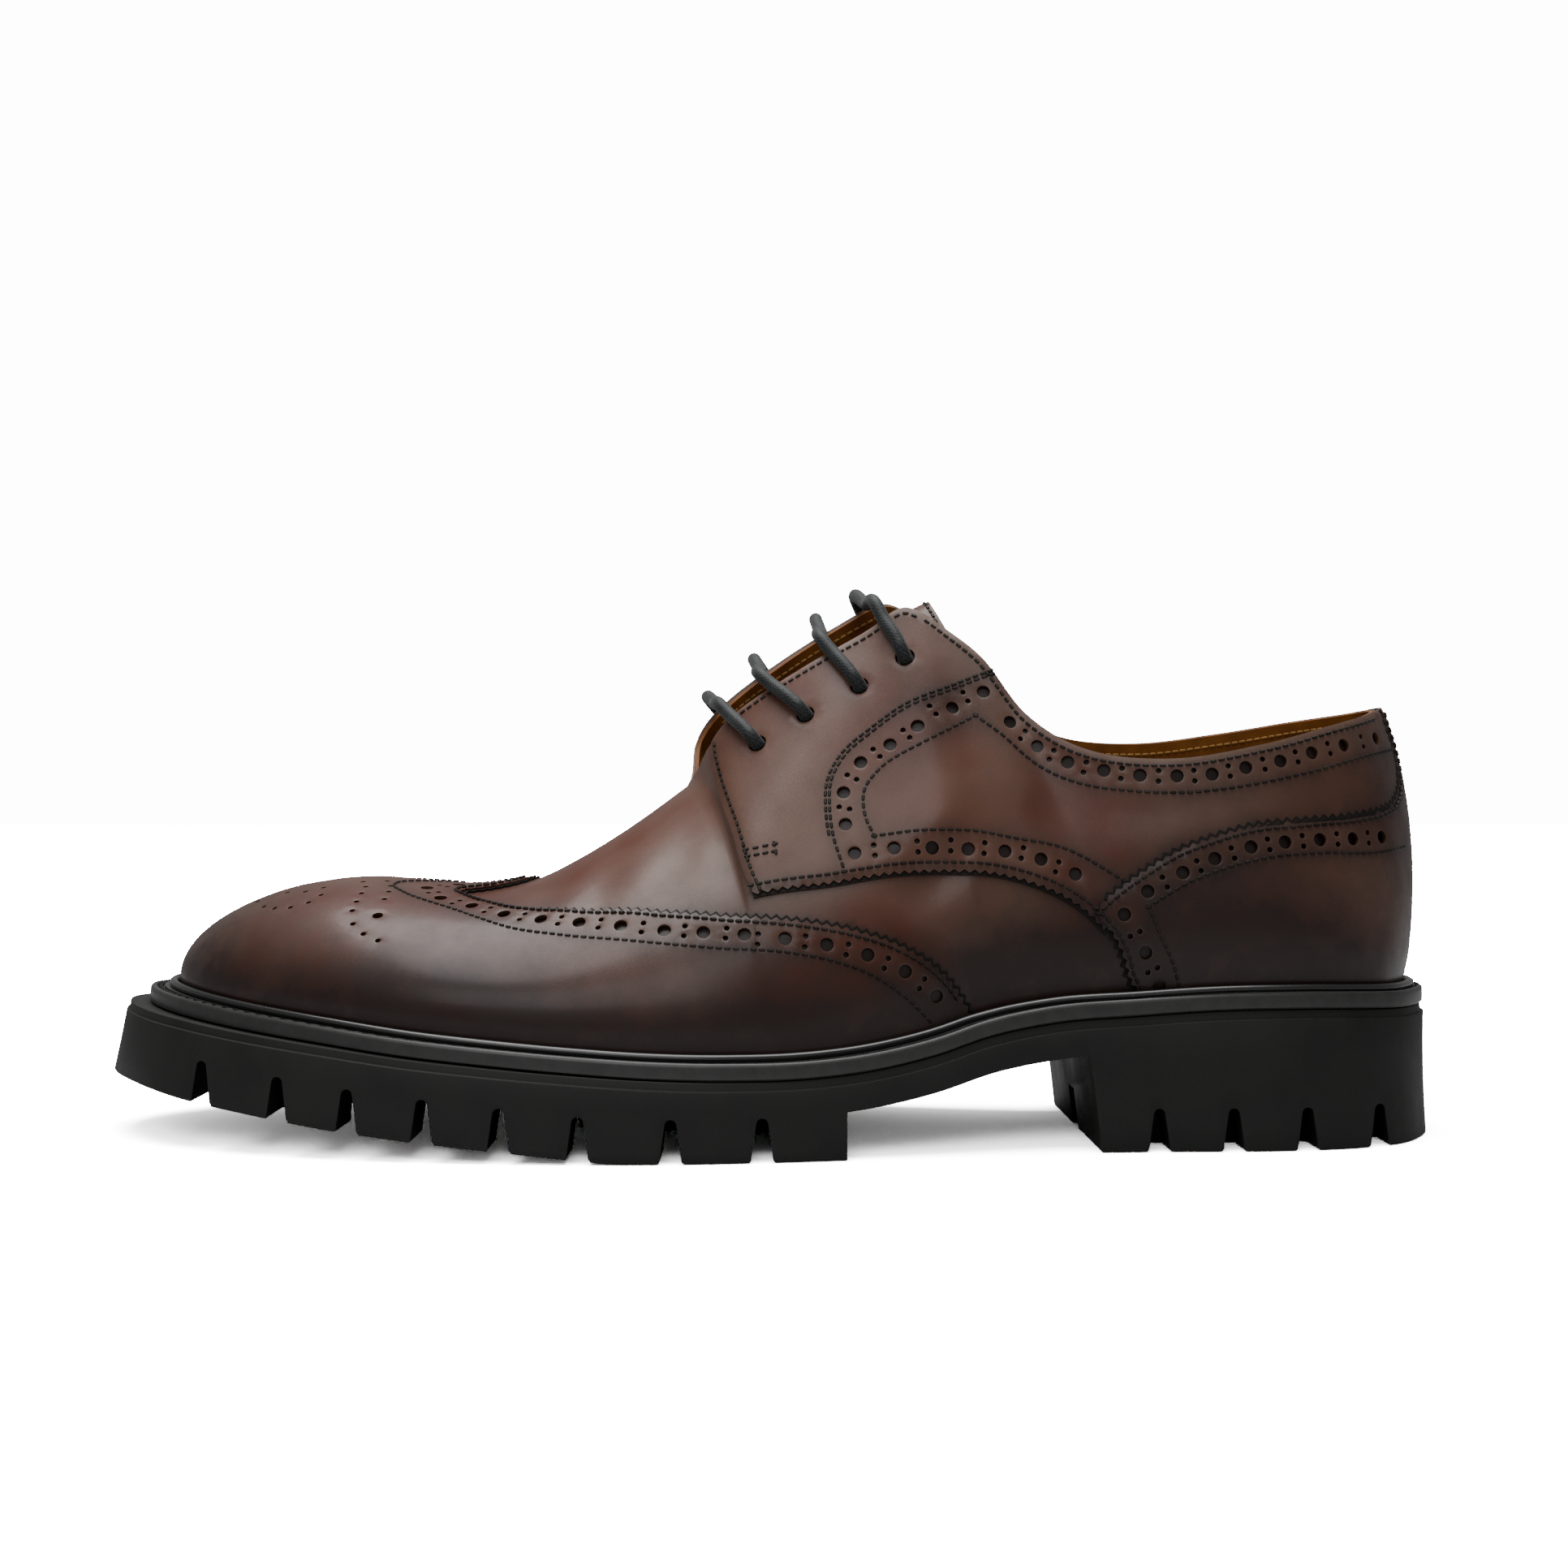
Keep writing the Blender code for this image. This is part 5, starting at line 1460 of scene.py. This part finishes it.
def applyModifier(piece, kind, **settings):
    bpy.ops.object.select_all(action="DESELECT")
    bpy.context.view_layer.objects.active = piece
    piece.select_set(True)
    modifier = piece.modifiers.new(kind.lower(), kind)
    for key, value in settings.items():
        setattr(modifier, key, value)
    bpy.ops.object.modifier_apply(modifier=modifier.name)


def combine(piece, parts, operation):
    tool = solidOf("soleTool", parts)
    applyModifier(piece, "BOOLEAN", object=tool, operation=operation, solver="MANIFOLD")
    bpy.data.objects.remove(tool, do_unlink=True)


def soleSide(x, inner):
    edge = ringAt(soleReach, 0.0)
    half = len(ringSections) // 2
    points = edge[half:] if inner else edge[: half + 1]
    points = points[np.argsort(points[:, 0])]
    return float(np.interp(x, points[:, 0], points[:, 1]))


def notchProfile(x, floor):
    # slot that narrows upwards to a round root, with a small flare at its mouth
    root, mouth = sole["notchRoot"] / 2, sole["notchMouth"] / 2
    rise = sole["lugHeight"] - root
    arc = [math.pi * k / 8 for k in range(9)]
    points = [(x + root * math.cos(a), floor + rise + root * math.sin(a)) for a in arc]
    points += [(x - mouth, floor + 0.4 * mm), (x - mouth - 0.4 * mm, floor), (x - mouth - 0.4 * mm, -20 * mm)]
    points += [(x + mouth + 0.4 * mm, -20 * mm), (x + mouth + 0.4 * mm, floor), (x + mouth, floor + 0.4 * mm)]
    return [(a, a, z) for a, z in points]


def notches():
    parts = []
    rows = [(frontX + along * last["length"], None) for along in treadNotches]
    rows += [(heelBack - sole["heelLength"] * (1 - along), sole["heelNotchDepth"]) for along in heelNotches]
    for x, heelDepth in rows:
        floor = 0.0 if heelDepth else float(treadHeight(x))
        for inner in (False, True):
            edge = soleSide(x, inner)
            hand = 1 if inner else -1
            depth = sole["lugDepth"] + 0.6 * mm
            if heelDepth:
                depth = min(heelDepth, abs(edge) - sole["channel"])
            parts.append(prism(notchProfile(x, floor), edge - hand * depth, edge + hand * last["toeReach"]))
    return parts


def underside():
    # all that is cut away below tread, waist and heel; it skews with the breast of the heel
    margin = last["toeReach"]
    start = frontX - 2 * margin
    flat = frontX + treadRows[-1][0] * last["length"]
    points = [(start, start, -2 * margin), (start, start, float(treadHeight(start)))]
    points += [(x, x, float(treadHeight(x))) for x in np.linspace(frontX - margin, flat, 60)]
    points.append((treadBack, treadBack, 0.0))
    waist = np.linspace(treadBack, breastX, 40)
    for x in waist:
        skew = sole["heelSkew"] * (x - treadBack) / (breastX - treadBack)
        lean = -1.3 * mm if x == waist[-1] else 0.0
        points.append((x + skew + lean, x - skew + lean, float(seatHeight(x)) - sole["waist"]))
    foot = breastX + 1.3 * mm
    points.append((foot + sole["heelSkew"], foot - sole["heelSkew"], 0.0))
    end = heelBack + margin
    points += [(end, end, 0.0), (end, end, -2 * margin)]
    return prism(points, -0.19, 0.19)


def recess():
    first = frontX + sole["lugDepth"] - last["toeReach"] / 2
    places = np.linspace(first, treadBack - sole["lugDepth"] / 2, 40)
    points, faces = [], []
    for x in places:
        low = soleSide(x, False) + sole["lugDepth"]
        high = soleSide(x, True) - sole["lugDepth"]
        roof = float(treadHeight(x)) + sole["recess"]
        points += [(x, low, -20 * mm), (x, high, -20 * mm), (x, high, roof), (x, low, roof)]
    for i in range(len(places) - 1):
        faces += [(4 * i + j, 4 * i + (j + 1) % 4, 4 * i + 4 + (j + 1) % 4, 4 * i + 4 + j) for j in range(4)]
    end = 4 * (len(places) - 1)
    return points, faces + [(3, 2, 1, 0), (end, end + 1, end + 2, end + 3)]


def centreLugs():
    parts = []
    size, wide = sole["centreLug"]
    for along in treadNotches[1:]:
        x = frontX + along * last["length"]
        middle = (soleSide(x, False) + soleSide(x, True)) / 2
        floor = float(treadHeight(x)) + last["gap"]
        roof = floor + sole["recess"] + sole["waist"] / 2
        a, b = x - size / 2, x + size / 2
        taper = size / 6
        profile = [(a, a, roof), (b, b, roof), (b - taper, b - taper, floor), (a + taper, a + taper, floor)]
        parts.append(prism(profile, middle - wide / 2, middle + wide / 2))
    return parts


def mouldedRubber():
    # sole rubber from the mould: matt black with a faint dusty mottle and fine sandy skin
    material, tree, shader = newMaterial("mouldedBlackRubber", IOR=1.5, Specular_IOR_Level=0.3)
    place = objectPlace(tree)
    cloud = noise(tree, place, 14 * mm, 5.0)
    colour = mixColours(tree, rangeOf(tree, cloud, 0.35, 0.7), rubber["body"], rubber["dust"])
    tree.links.new(colour, shader.inputs["Base Color"])
    rough = rangeOf(tree, cloud, 0.3, 0.7, 0.52, 0.68)
    tree.links.new(rough, shader.inputs["Roughness"])
    bumpOn(tree, shader, noise(tree, place, rubber["skin"], 3.0, 0.6), 0.45, 0.05 * mm)
    return material


rubber = {
    "body": "0d0d0c",
    "dust": "161614",
    "skin": 0.55 * mm,
    # the strip's colours are lighter grey than the sole's, partly a painted sheen
    "strip": "232322",
    "stripWorn": "1a1a19",
    "bead": "080808",
    "beadWorn": "0d0d0d",
}


def satinRubber(name, hexColour, second, roughness, coat):
    # welt rubber, smoother than the sole: the strip catches a grey sheen, partly painted in as a lighter grey
    # colour, the bead a sharp one
    material, tree, shader = newMaterial(
        name, Roughness=roughness, IOR=1.5, Coat_Weight=coat, Coat_Roughness=0.18, Coat_IOR=1.5
    )
    wear = noise(tree, objectPlace(tree), 3 * mm, 4.0)
    colour = mixColours(tree, rangeOf(tree, wear, 0.35, 0.7), hexColour, second)
    tree.links.new(colour, shader.inputs["Base Color"])
    bumpOn(tree, shader, wear, 0.3, 0.03 * mm)
    return material


# Upper edge of the sole from its flank inward, in steps: inset and drop below the seat
soleTop = ((0.0, 2.15), (0.12, 1.9), (0.75, 1.75), (0.85, 0.3), (1.0, 0.0))


def outsole():
    flare = sole["flare"] * edgeReach(3)
    top = ringAt(soleReach, 0.0)
    seat = seatHeight(top[:, 0])
    step = sole["step"]
    foot = -2 * step
    stretch = (seat - foot) / (seat - treadHeight(top[:, 0]))
    rings = [ringAt(soleReach + flare * stretch, foot)]
    for share in (0.25, 0.5, 0.75):
        bow = 0.35 * mm * math.sin(math.pi * share)
        reach = soleReach + flare * stretch * (1 - share) - bow
        rings.append(ringAt(reach, foot + (seat - 2 * step - foot) * share))
    rings += [ringAt(soleReach - inset * step, seat - drop * step) for inset, drop in soleTop]
    made = solidOf("outsoleUnit", [stackedRings(rings)])
    combine(made, [underside()], "DIFFERENCE")
    combine(made, [recess()], "DIFFERENCE")
    combine(made, notches(), "DIFFERENCE")
    end = heelBack - sole["heelLength"] * 0.26
    start = breastX - sole["lugDepth"]
    deep = sole["lugHeight"]
    slot = [(start, start, -deep), (end, end, -deep), (end, end, deep), (start, start, deep)]
    combine(made, [prism(slot, -sole["channel"] / 2, sole["channel"] / 2)], "DIFFERENCE")
    combine(made, centreLugs(), "UNION")
    applyModifier(
        made, "BEVEL", width=sole["edgeRound"], segments=2,
        limit_method="ANGLE", angle_limit=math.radians(50), use_clamp_overlap=True,
    )
    made.data.materials.clear()
    dress(made, mouldedRubber(), 32, "sole_rubber", "outsole")
    made.data.polygons.foreach_set("material_index", np.zeros(len(made.data.polygons), int))


# The strip: thickness, bead and stitch channel, in metres
welt = {
    "thickness": 3.8 * mm,
    "beadHeight": 1.6 * mm,
    "beadWidth": 2.0 * mm,
    "inside": 1.8 * mm,
    "lip": 1.5 * mm,        # flat rim outside the channel
    "channel": 1.9 * mm,
    "channelDepth": 0.75 * mm,
}
weltStitch = {
    "pitch": 3.5 * mm,
    "length": 3.01 * mm,
    "radius": 0.55 * mm,
    "slant": 0.16,
    "sides": 8,
    "rings": ((-0.75, 0.8), (-0.2, 1.0), (0.2, 1.0), (0.75, 0.8)),
}


def closedBand(name, rings, material, *replaced):
    # a closed section carried round the whole sole
    made = solidOf(name, [(np.concatenate(rings), bandFaces(len(rings), len(ringSections), True))])
    dress(made, material, 38, "welt_strip", *replaced)


def weltBead(low, top, beadFoot):
    # rolled edge that leans on the upper
    radius = welt["beadWidth"] / 2
    turns = np.linspace(-0.5, 1.0, 9) * math.pi
    centreZ = top + welt["beadHeight"] - radius
    bead = [(welt["inside"] + radius + radius * math.cos(a), centreZ + radius * math.sin(a)) for a in turns]
    bead += [(welt["inside"] + 0 * rimReach, low + 0.3 * mm), (beadFoot - 0.15 * mm, low + 0.3 * mm)]
    gloss = satinRubber("glossyBeadRubber", rubber["bead"], rubber["beadWorn"], 0.34, 0.5)
    closedBand("weltBead", [ringAt(reach, z) for reach, z in bead], gloss)


def weltStitches(track):
    # short slanted stitches sunk in the channel
    closed = np.concatenate([track, track[:1]])
    at = runOf(closed)
    places = np.linspace(0, at[-1], int(at[-1] / weltStitch["pitch"]) + 1)[:-1]
    centre = pointsAt(at, closed, places)
    ahead = unit(pointsAt(at, closed, (places + 0.5 * mm) % at[-1]) - centre)
    across = np.cross(np.array([0.0, 0.0, 1.0]), ahead)
    ahead = ahead + weltStitch["slant"] * across
    stitches = threadsAt(centre, ahead, across, np.cross(ahead, across), weltStitch)
    thread = hideGrain("blackWeltThread", "1b1b1a", "0d0d0c", 0.55, 0.3 * mm, 0.05 * mm)
    joinRows("weltStitching", [stitches], thread, "welt_strip")


def weltStrip():
    low = seatHeight(ringAt(rimReach, 0.0)[:, 0]) + last["gap"]
    top = low + welt["thickness"]
    floor = top - welt["channelDepth"]
    beadFoot = 0 * rimReach + welt["inside"] + welt["beadWidth"]
    outer = np.maximum(rimReach - welt["lip"], beadFoot + 1.4 * mm)
    innerEdge = np.maximum(outer - welt["channel"], beadFoot + 0.2 * mm)
    section = [
        (beadFoot - 1.2 * mm, low),
        (rimReach - 0.35 * mm, low),
        (rimReach, low + 0.35 * mm),
        (rimReach, top - 1.0 * mm),
        (rimReach - 0.12 * mm, top - 0.45 * mm),
        (rimReach - 0.5 * mm, top - 0.05 * mm),
        (rimReach - 1.0 * mm, top),
        (outer, top - 0.05 * mm),
        (outer - 0.25 * mm, floor),
        (innerEdge + 0.1 * mm, floor),
        (innerEdge, top - 0.15 * mm),
        (beadFoot - 0.1 * mm, top - 0.2 * mm),
        (beadFoot - 1.2 * mm, top - 0.2 * mm),
    ]
    strip = satinRubber("satinWeltRubber", rubber["strip"], rubber["stripWorn"], 0.42, 0.12)
    closedBand("weltStrip", [ringAt(reach, z) for reach, z in section], strip, "welt")
    weltBead(low, top, beadFoot)
    weltStitches(ringAt((outer + innerEdge) / 2, floor + 0.15 * mm))


outsole()
weltStrip()
print("sole and welt made")


# Round waxed cord laced straight across, up out of one eyelet and down into the other
lace = {
    "radius": 1.62 * mm,
    "braid": 0.24 * mm,      # how far the strands stand proud
    "strands": 5,            # in each direction
    "turn": 9.5 * mm,        # length in which a strand goes once round
    "dark": "070808",
    "light": "33383a",
    "sides": 40,
    "step": 0.3 * mm,
    "sunk": 0.9 * mm,
    "lift": 3.7 * mm,
    "bend": 3.06 * mm,
    "leads": ((-0.35, 0.28), (-0.35, 0.20), (-0.30, 0.12), (-0.45, 0.50)),
    "climb": ((0.45, 0.0), (0.90, 0.45), (1.0, 1.3)),
    "crest": ((1.0, -0.4), (0.95, 0.5)),
}


def cordMaterial():
    # waxed cotton braid: painted near black in the gaps as shade, grey on the proud strands where the wax has
    # worn off, partly a painted highlight
    material, tree, shader = newMaterial(
        "waxedCottonBraid", Roughness=0.55, IOR=1.45, Specular_IOR_Level=0.3, Sheen_Weight=0.12
    )
    proud = rangeOf(tree, attributeOf(tree, "proud"), 0.45, 1.0)
    fibre = noise(tree, objectPlace(tree), 0.35 * mm, 3.0)
    worn = rangeOf(tree, fibre, 0.3, 0.7)
    mixed = addNode(tree, "ShaderNodeMath", {}, {0: proud, 1: worn}, operation="MULTIPLY")
    # painted shade in the gaps between strands and a partly painted highlight on the proud ones
    colour = mixColours(tree, mixed.outputs[0], lace["dark"], lace["light"])
    tree.links.new(colour, shader.inputs["Base Color"])
    bumpOn(tree, shader, fibre, 0.5, 0.06 * mm)
    return material


def lacePath(section, leads):
    halves = []
    for k, lead in zip((section, loop - section), leads):
        eyelet = eyeletPlace(k)
        centre, normal = lastPoint(*eyelet), lastNormal(*eyelet)
        edge = lastPoint(k + lead, 1.0)
        away = edge - centre
        away = unit(away - normal * np.dot(away, normal))
        over = lastNormal(k + lead, 1.0) * lace["lift"]
        points = [centre - normal * lace["sunk"]]
        for high, out in lace["climb"]:
            points.append(centre + normal * lace["lift"] * high + away * lace["bend"] * out)
        points += [edge + over * high + away * lace["lift"] * out for high, out in lace["crest"]]
        halves.append(points)
    near, far = halves
    points = np.array(near + [(near[-1] + far[-1]) / 2] + far[::-1])
    at = runOf(points)
    fine = np.linspace(0.0, at[-1], int(at[-1] / lace["step"]))
    return fine, smoothAt(at, points, fine)


def laceBar(number, section, leads, material):
    at, path = lacePath(section, leads)
    ahead = unit(np.gradient(path, axis=0))
    side = unit(np.cross(ahead, [1.0, 0.0, 0.0]))
    up = np.cross(side, ahead)
    rows, sides = len(path), lace["sides"]
    turns = np.arange(sides) * math.tau / sides
    phase = at[:, None] / lace["turn"] * math.tau
    first = np.abs(np.sin(lace["strands"] * (turns + phase)))
    second = np.abs(np.sin(lace["strands"] * (turns - phase)))
    proud = np.maximum(first, second)
    radius = lace["radius"] - lace["braid"] * (1 - proud)
    ring = side[:, None] * np.cos(turns)[None, :, None] + up[:, None] * np.sin(turns)[None, :, None]
    points = (path[:, None] + ring * radius[..., None]).reshape(-1, 3)
    faces = bandFaces(rows, sides)
    faces += [tuple(range(sides - 1, -1, -1)), tuple(range((rows - 1) * sides, rows * sides))]
    piece = newPiece(f"laceBar{number}", points, faces, material, [f"lace_bar_{number}"], "waxed_lace", 70.0)
    setAttribute(piece, "proud", proud.ravel())


def laces():
    material = cordMaterial()
    for number, (section, leads) in enumerate(zip(eyelets["sections"], lace["leads"]), 1):
        laceBar(number, section, leads, material)


# Tongue: section of its sides, place and rise of its middle line, arch
tongueRows = (
    (10.0, 0.381, 0.505, 0.10),
    (10.5, 0.401, 0.549, 0.12),
    (11.0, 0.422, 0.586, 0.12),
    (11.5, 0.428, 0.622, 0.22),
    (12.0, 0.434, 0.668, 0.38),
    (13.0, 0.462, 0.785, 0.58),
    (14.0, 0.512, 0.887, 0.62),
    (15.0, 0.561, 0.953, 0.63),
    (16.0, 0.583, 0.985, 0.64),
    (17.0, 0.593, 1.005, 0.64),
    (18.0, 0.603, 1.015, 0.64),
    (19.6, 0.615, 1.022, 0.64),
)
tongue = {
    "thickness": 1.8 * mm,
    "skived": 1.1 * mm,
    "depth": 4.4 * mm,   # under the quarters where it leaves them
    "leaves": 0.76,      # height share at which it leaves them
    "along": 90,
    "across": 44,
}


def tonguePoints(sections, shares):
    points = []
    for section in sections:
        a, d = [
            lastPoint(k, tongue["leaves"]) - tongue["depth"] * lastNormal(k, tongue["leaves"])
            for k in (section, loop - section)
        ]
        along, rise, arch = [
            float(curveThrough(column(tongueRows, 0), column(tongueRows, k), section)) for k in (1, 2, 3)
        ]
        x = frontX + last["length"] * along
        y = (lastPoint(section, 1.0)[1] + lastPoint(loop - section, 1.0)[1]) / 2
        middle = np.array([x, y, float(seatHeight(x)) + last["instep"] * rise])
        centre = middle * 4 / 3 - (a + d) / 6
        spread = (a - d) / 2 * arch
        b, c = centre + spread, centre - spread
        t = np.asarray(shares)[:, None]
        points.append(a * (1 - t) ** 3 + 3 * b * t * (1 - t) ** 2 + 3 * c * t * t * (1 - t) + d * t**3)
    return np.array(points)


def tongueStitches():
    # one row along its rear edge
    shares = np.linspace(0.05, 0.95, 400)
    row = tonguePoints([19.15], shares)[0]
    at = runOf(row)
    places = np.arange(stitch["pitch"], at[-1], stitch["pitch"])
    centre = pointsAt(at, row, places)
    ahead = unit(np.gradient(centre, axis=0))
    inward = tonguePoints([18.9], np.interp(places, at, shares))[0] - centre
    out = unit(np.cross(ahead, inward))
    out *= np.sign(out[len(out) // 2, 2])
    rows = [threadsAt(centre + out * 0.05 * mm, ahead, np.cross(out, ahead), out, stitch)]
    joinRows("tongueStitching", rows, threadMaterial, "calf_leather")


def makeTongue():
    sections = np.linspace(tongueRows[0][0], tongueRows[-1][0], tongue["along"])
    top = tonguePoints(sections, np.linspace(0.0, 1.0, tongue["across"]))
    normal = unit(np.cross(np.gradient(top, axis=1), np.gradient(top, axis=0)))
    normal *= np.sign(normal[tongue["along"] // 2, tongue["across"] // 2, 2])
    under = top - normal * tongue["thickness"]
    # the edge is skived thinner
    under[-1] = top[-1] - normal[-1] * tongue["skived"]
    wide = tongue["across"]
    count = top.shape[0] * wide
    faces = []
    for i in range(tongue["along"] - 1):
        for j in range(wide - 1):
            a = i * wide + j
            faces.append((a, a + 1, a + wide + 1, a + wide))
            faces.append((a + count, a + wide + count, a + wide + 1 + count, a + 1 + count))
    rim = list(range(wide)) + [i * wide + wide - 1 for i in range(1, tongue["along"])]
    rim += [count - 1 - j for j in range(1, wide)] + [i * wide for i in range(tongue["along"] - 2, 0, -1)]
    for k, a in enumerate(rim):
        b = rim[(k + 1) % len(rim)]
        faces.append((b, a, a + count, b + count))
    points = np.concatenate([top.reshape(-1, 3), under.reshape(-1, 3)])
    piece = newPiece("tongueLeather", points, faces, calfMaterial, ["tongue"], "calf_leather", 55.0)
    turnOutward(piece.data)
    shade = 0.15 + 0.25 * np.repeat(np.clip(sections - 18.6, 0, 1), wide)
    setAttribute(piece, "burnishAndShade", np.concatenate([shade, shade]))
    setAttribute(piece, "warmth", np.full(2 * count, 0.25))
    tongueStitches()


# Set back from the wall, and height over the seat
insoleWall = -2.1 * mm
insoleRings = ((0.0, 0.3 * mm), (0.0, 2.8 * mm), (0.4 * mm, 3.1 * mm))


def insole():
    # leather sock that lies on the board inside
    inside = insoleWall + 0 * rimReach
    seat = seatHeight(ringAt(inside, 0.0)[:, 0])
    rings = [ringAt(inside - back, seat + up) for back, up in insoleRings]
    made = solidOf("insoleSock", [stackedRings(rings)])
    dress(made, liningMaterial, 50, "lining_leather", "insole")


laces()
makeTongue()
insole()
print("laces, tongue and insole made")


def studio():
    # white sweep under a large soft box, as in the photo
    bpy.ops.object.select_all(action="DESELECT")
    bpy.ops.mesh.primitive_plane_add(size=8.0, location=(0, 0, -0.0002))
    floor = bpy.context.object
    floor.name = "studioFloor"
    # seen straight on the paper is overexposed to white, and only contact shadows stay visible
    material, tree, shader = newMaterial("mattWhiteSweep", Roughness=0.9)
    shader.inputs["Base Color"].default_value = (0.42, 0.42, 0.42, 1)
    place = addNode(tree, "ShaderNodeTexCoord").outputs["Object"]
    away = addNode(tree, "ShaderNodeVectorMath", {}, {0: place}, operation="LENGTH").outputs["Value"]
    glow = rangeOf(tree, away, 0.2, 1.5, studioLights["paper"], studioLights["farPaper"])
    bright = addNode(tree, "ShaderNodeBsdfDiffuse", {}, {"Color": glow})
    seen = addNode(tree, "ShaderNodeLightPath")
    mixed = addNode(tree, "ShaderNodeMixShader", {}, {
        0: seen.outputs["Is Camera Ray"], 1: shader.outputs[0], 2: bright.outputs[0],
    })
    output = next(node for node in tree.nodes if node.type == "OUTPUT_MATERIAL")
    tree.links.new(mixed.outputs[0], output.inputs["Surface"])
    floor.data.materials.append(material)
    world = bpy.data.worlds.new("studioLight")
    world.use_nodes = True
    sky = world.node_tree
    sky.nodes["Background"].inputs["Color"].default_value = (1, 1, 1, 1)
    sky.nodes["Background"].inputs["Strength"].default_value = studioLights["world"]
    white = addNode(
        sky, "ShaderNodeBackground", {"Color": (1, 1, 1, 1), "Strength": studioLights["backdrop"]}
    )
    seen = addNode(sky, "ShaderNodeLightPath")
    mixed = addNode(sky, "ShaderNodeMixShader", {}, {
        0: seen.outputs["Is Camera Ray"], 1: sky.nodes["Background"].outputs[0], 2: white.outputs[0],
    })
    sky.links.new(mixed.outputs[0], sky.nodes["World Output"].inputs["Surface"])
    bpy.context.scene.world = world
    for name, place, target, size, power in studioLights["boxes"]:
        lamp = bpy.data.lights.new(name, "AREA")
        lamp.shape = "RECTANGLE"
        lamp.size, lamp.size_y = size
        lamp.energy = power
        made = bpy.data.objects.new(name, lamp)
        made.location = place
        made.rotation_euler = (Vector(target) - Vector(place)).to_track_quat("-Z", "Y").to_euler()
        bpy.context.scene.collection.objects.link(made)


studioLights = {
    "world": 0.26,
    "backdrop": 14.0,
    "paper": 15.0,
    "farPaper": 150.0,
    "boxes": (
        ("softBoxTop", (-0.05, 0.0, 0.95), (0.0, 0.0, 0.05), (1.1, 0.8), 18.0),
        ("softBoxFront", (-0.3, -1.3, 0.95), (0.0, 0.0, 0.05), (1.1, 0.6), 6.0),
    ),
}


def camera():
    lens = bpy.data.cameras.new("levelCamera")
    lens.sensor_width = view["sensor"]
    lens.lens = view["sensor"] * view["focalPixels"] / view["pixels"]
    made = bpy.data.objects.new("levelCamera", lens)
    made.location = view["place"]
    made.rotation_euler = (math.radians(90), 0, 0)
    bpy.context.scene.collection.objects.link(made)
    bpy.context.scene.camera = made


studio()
camera()
print("scene ready")
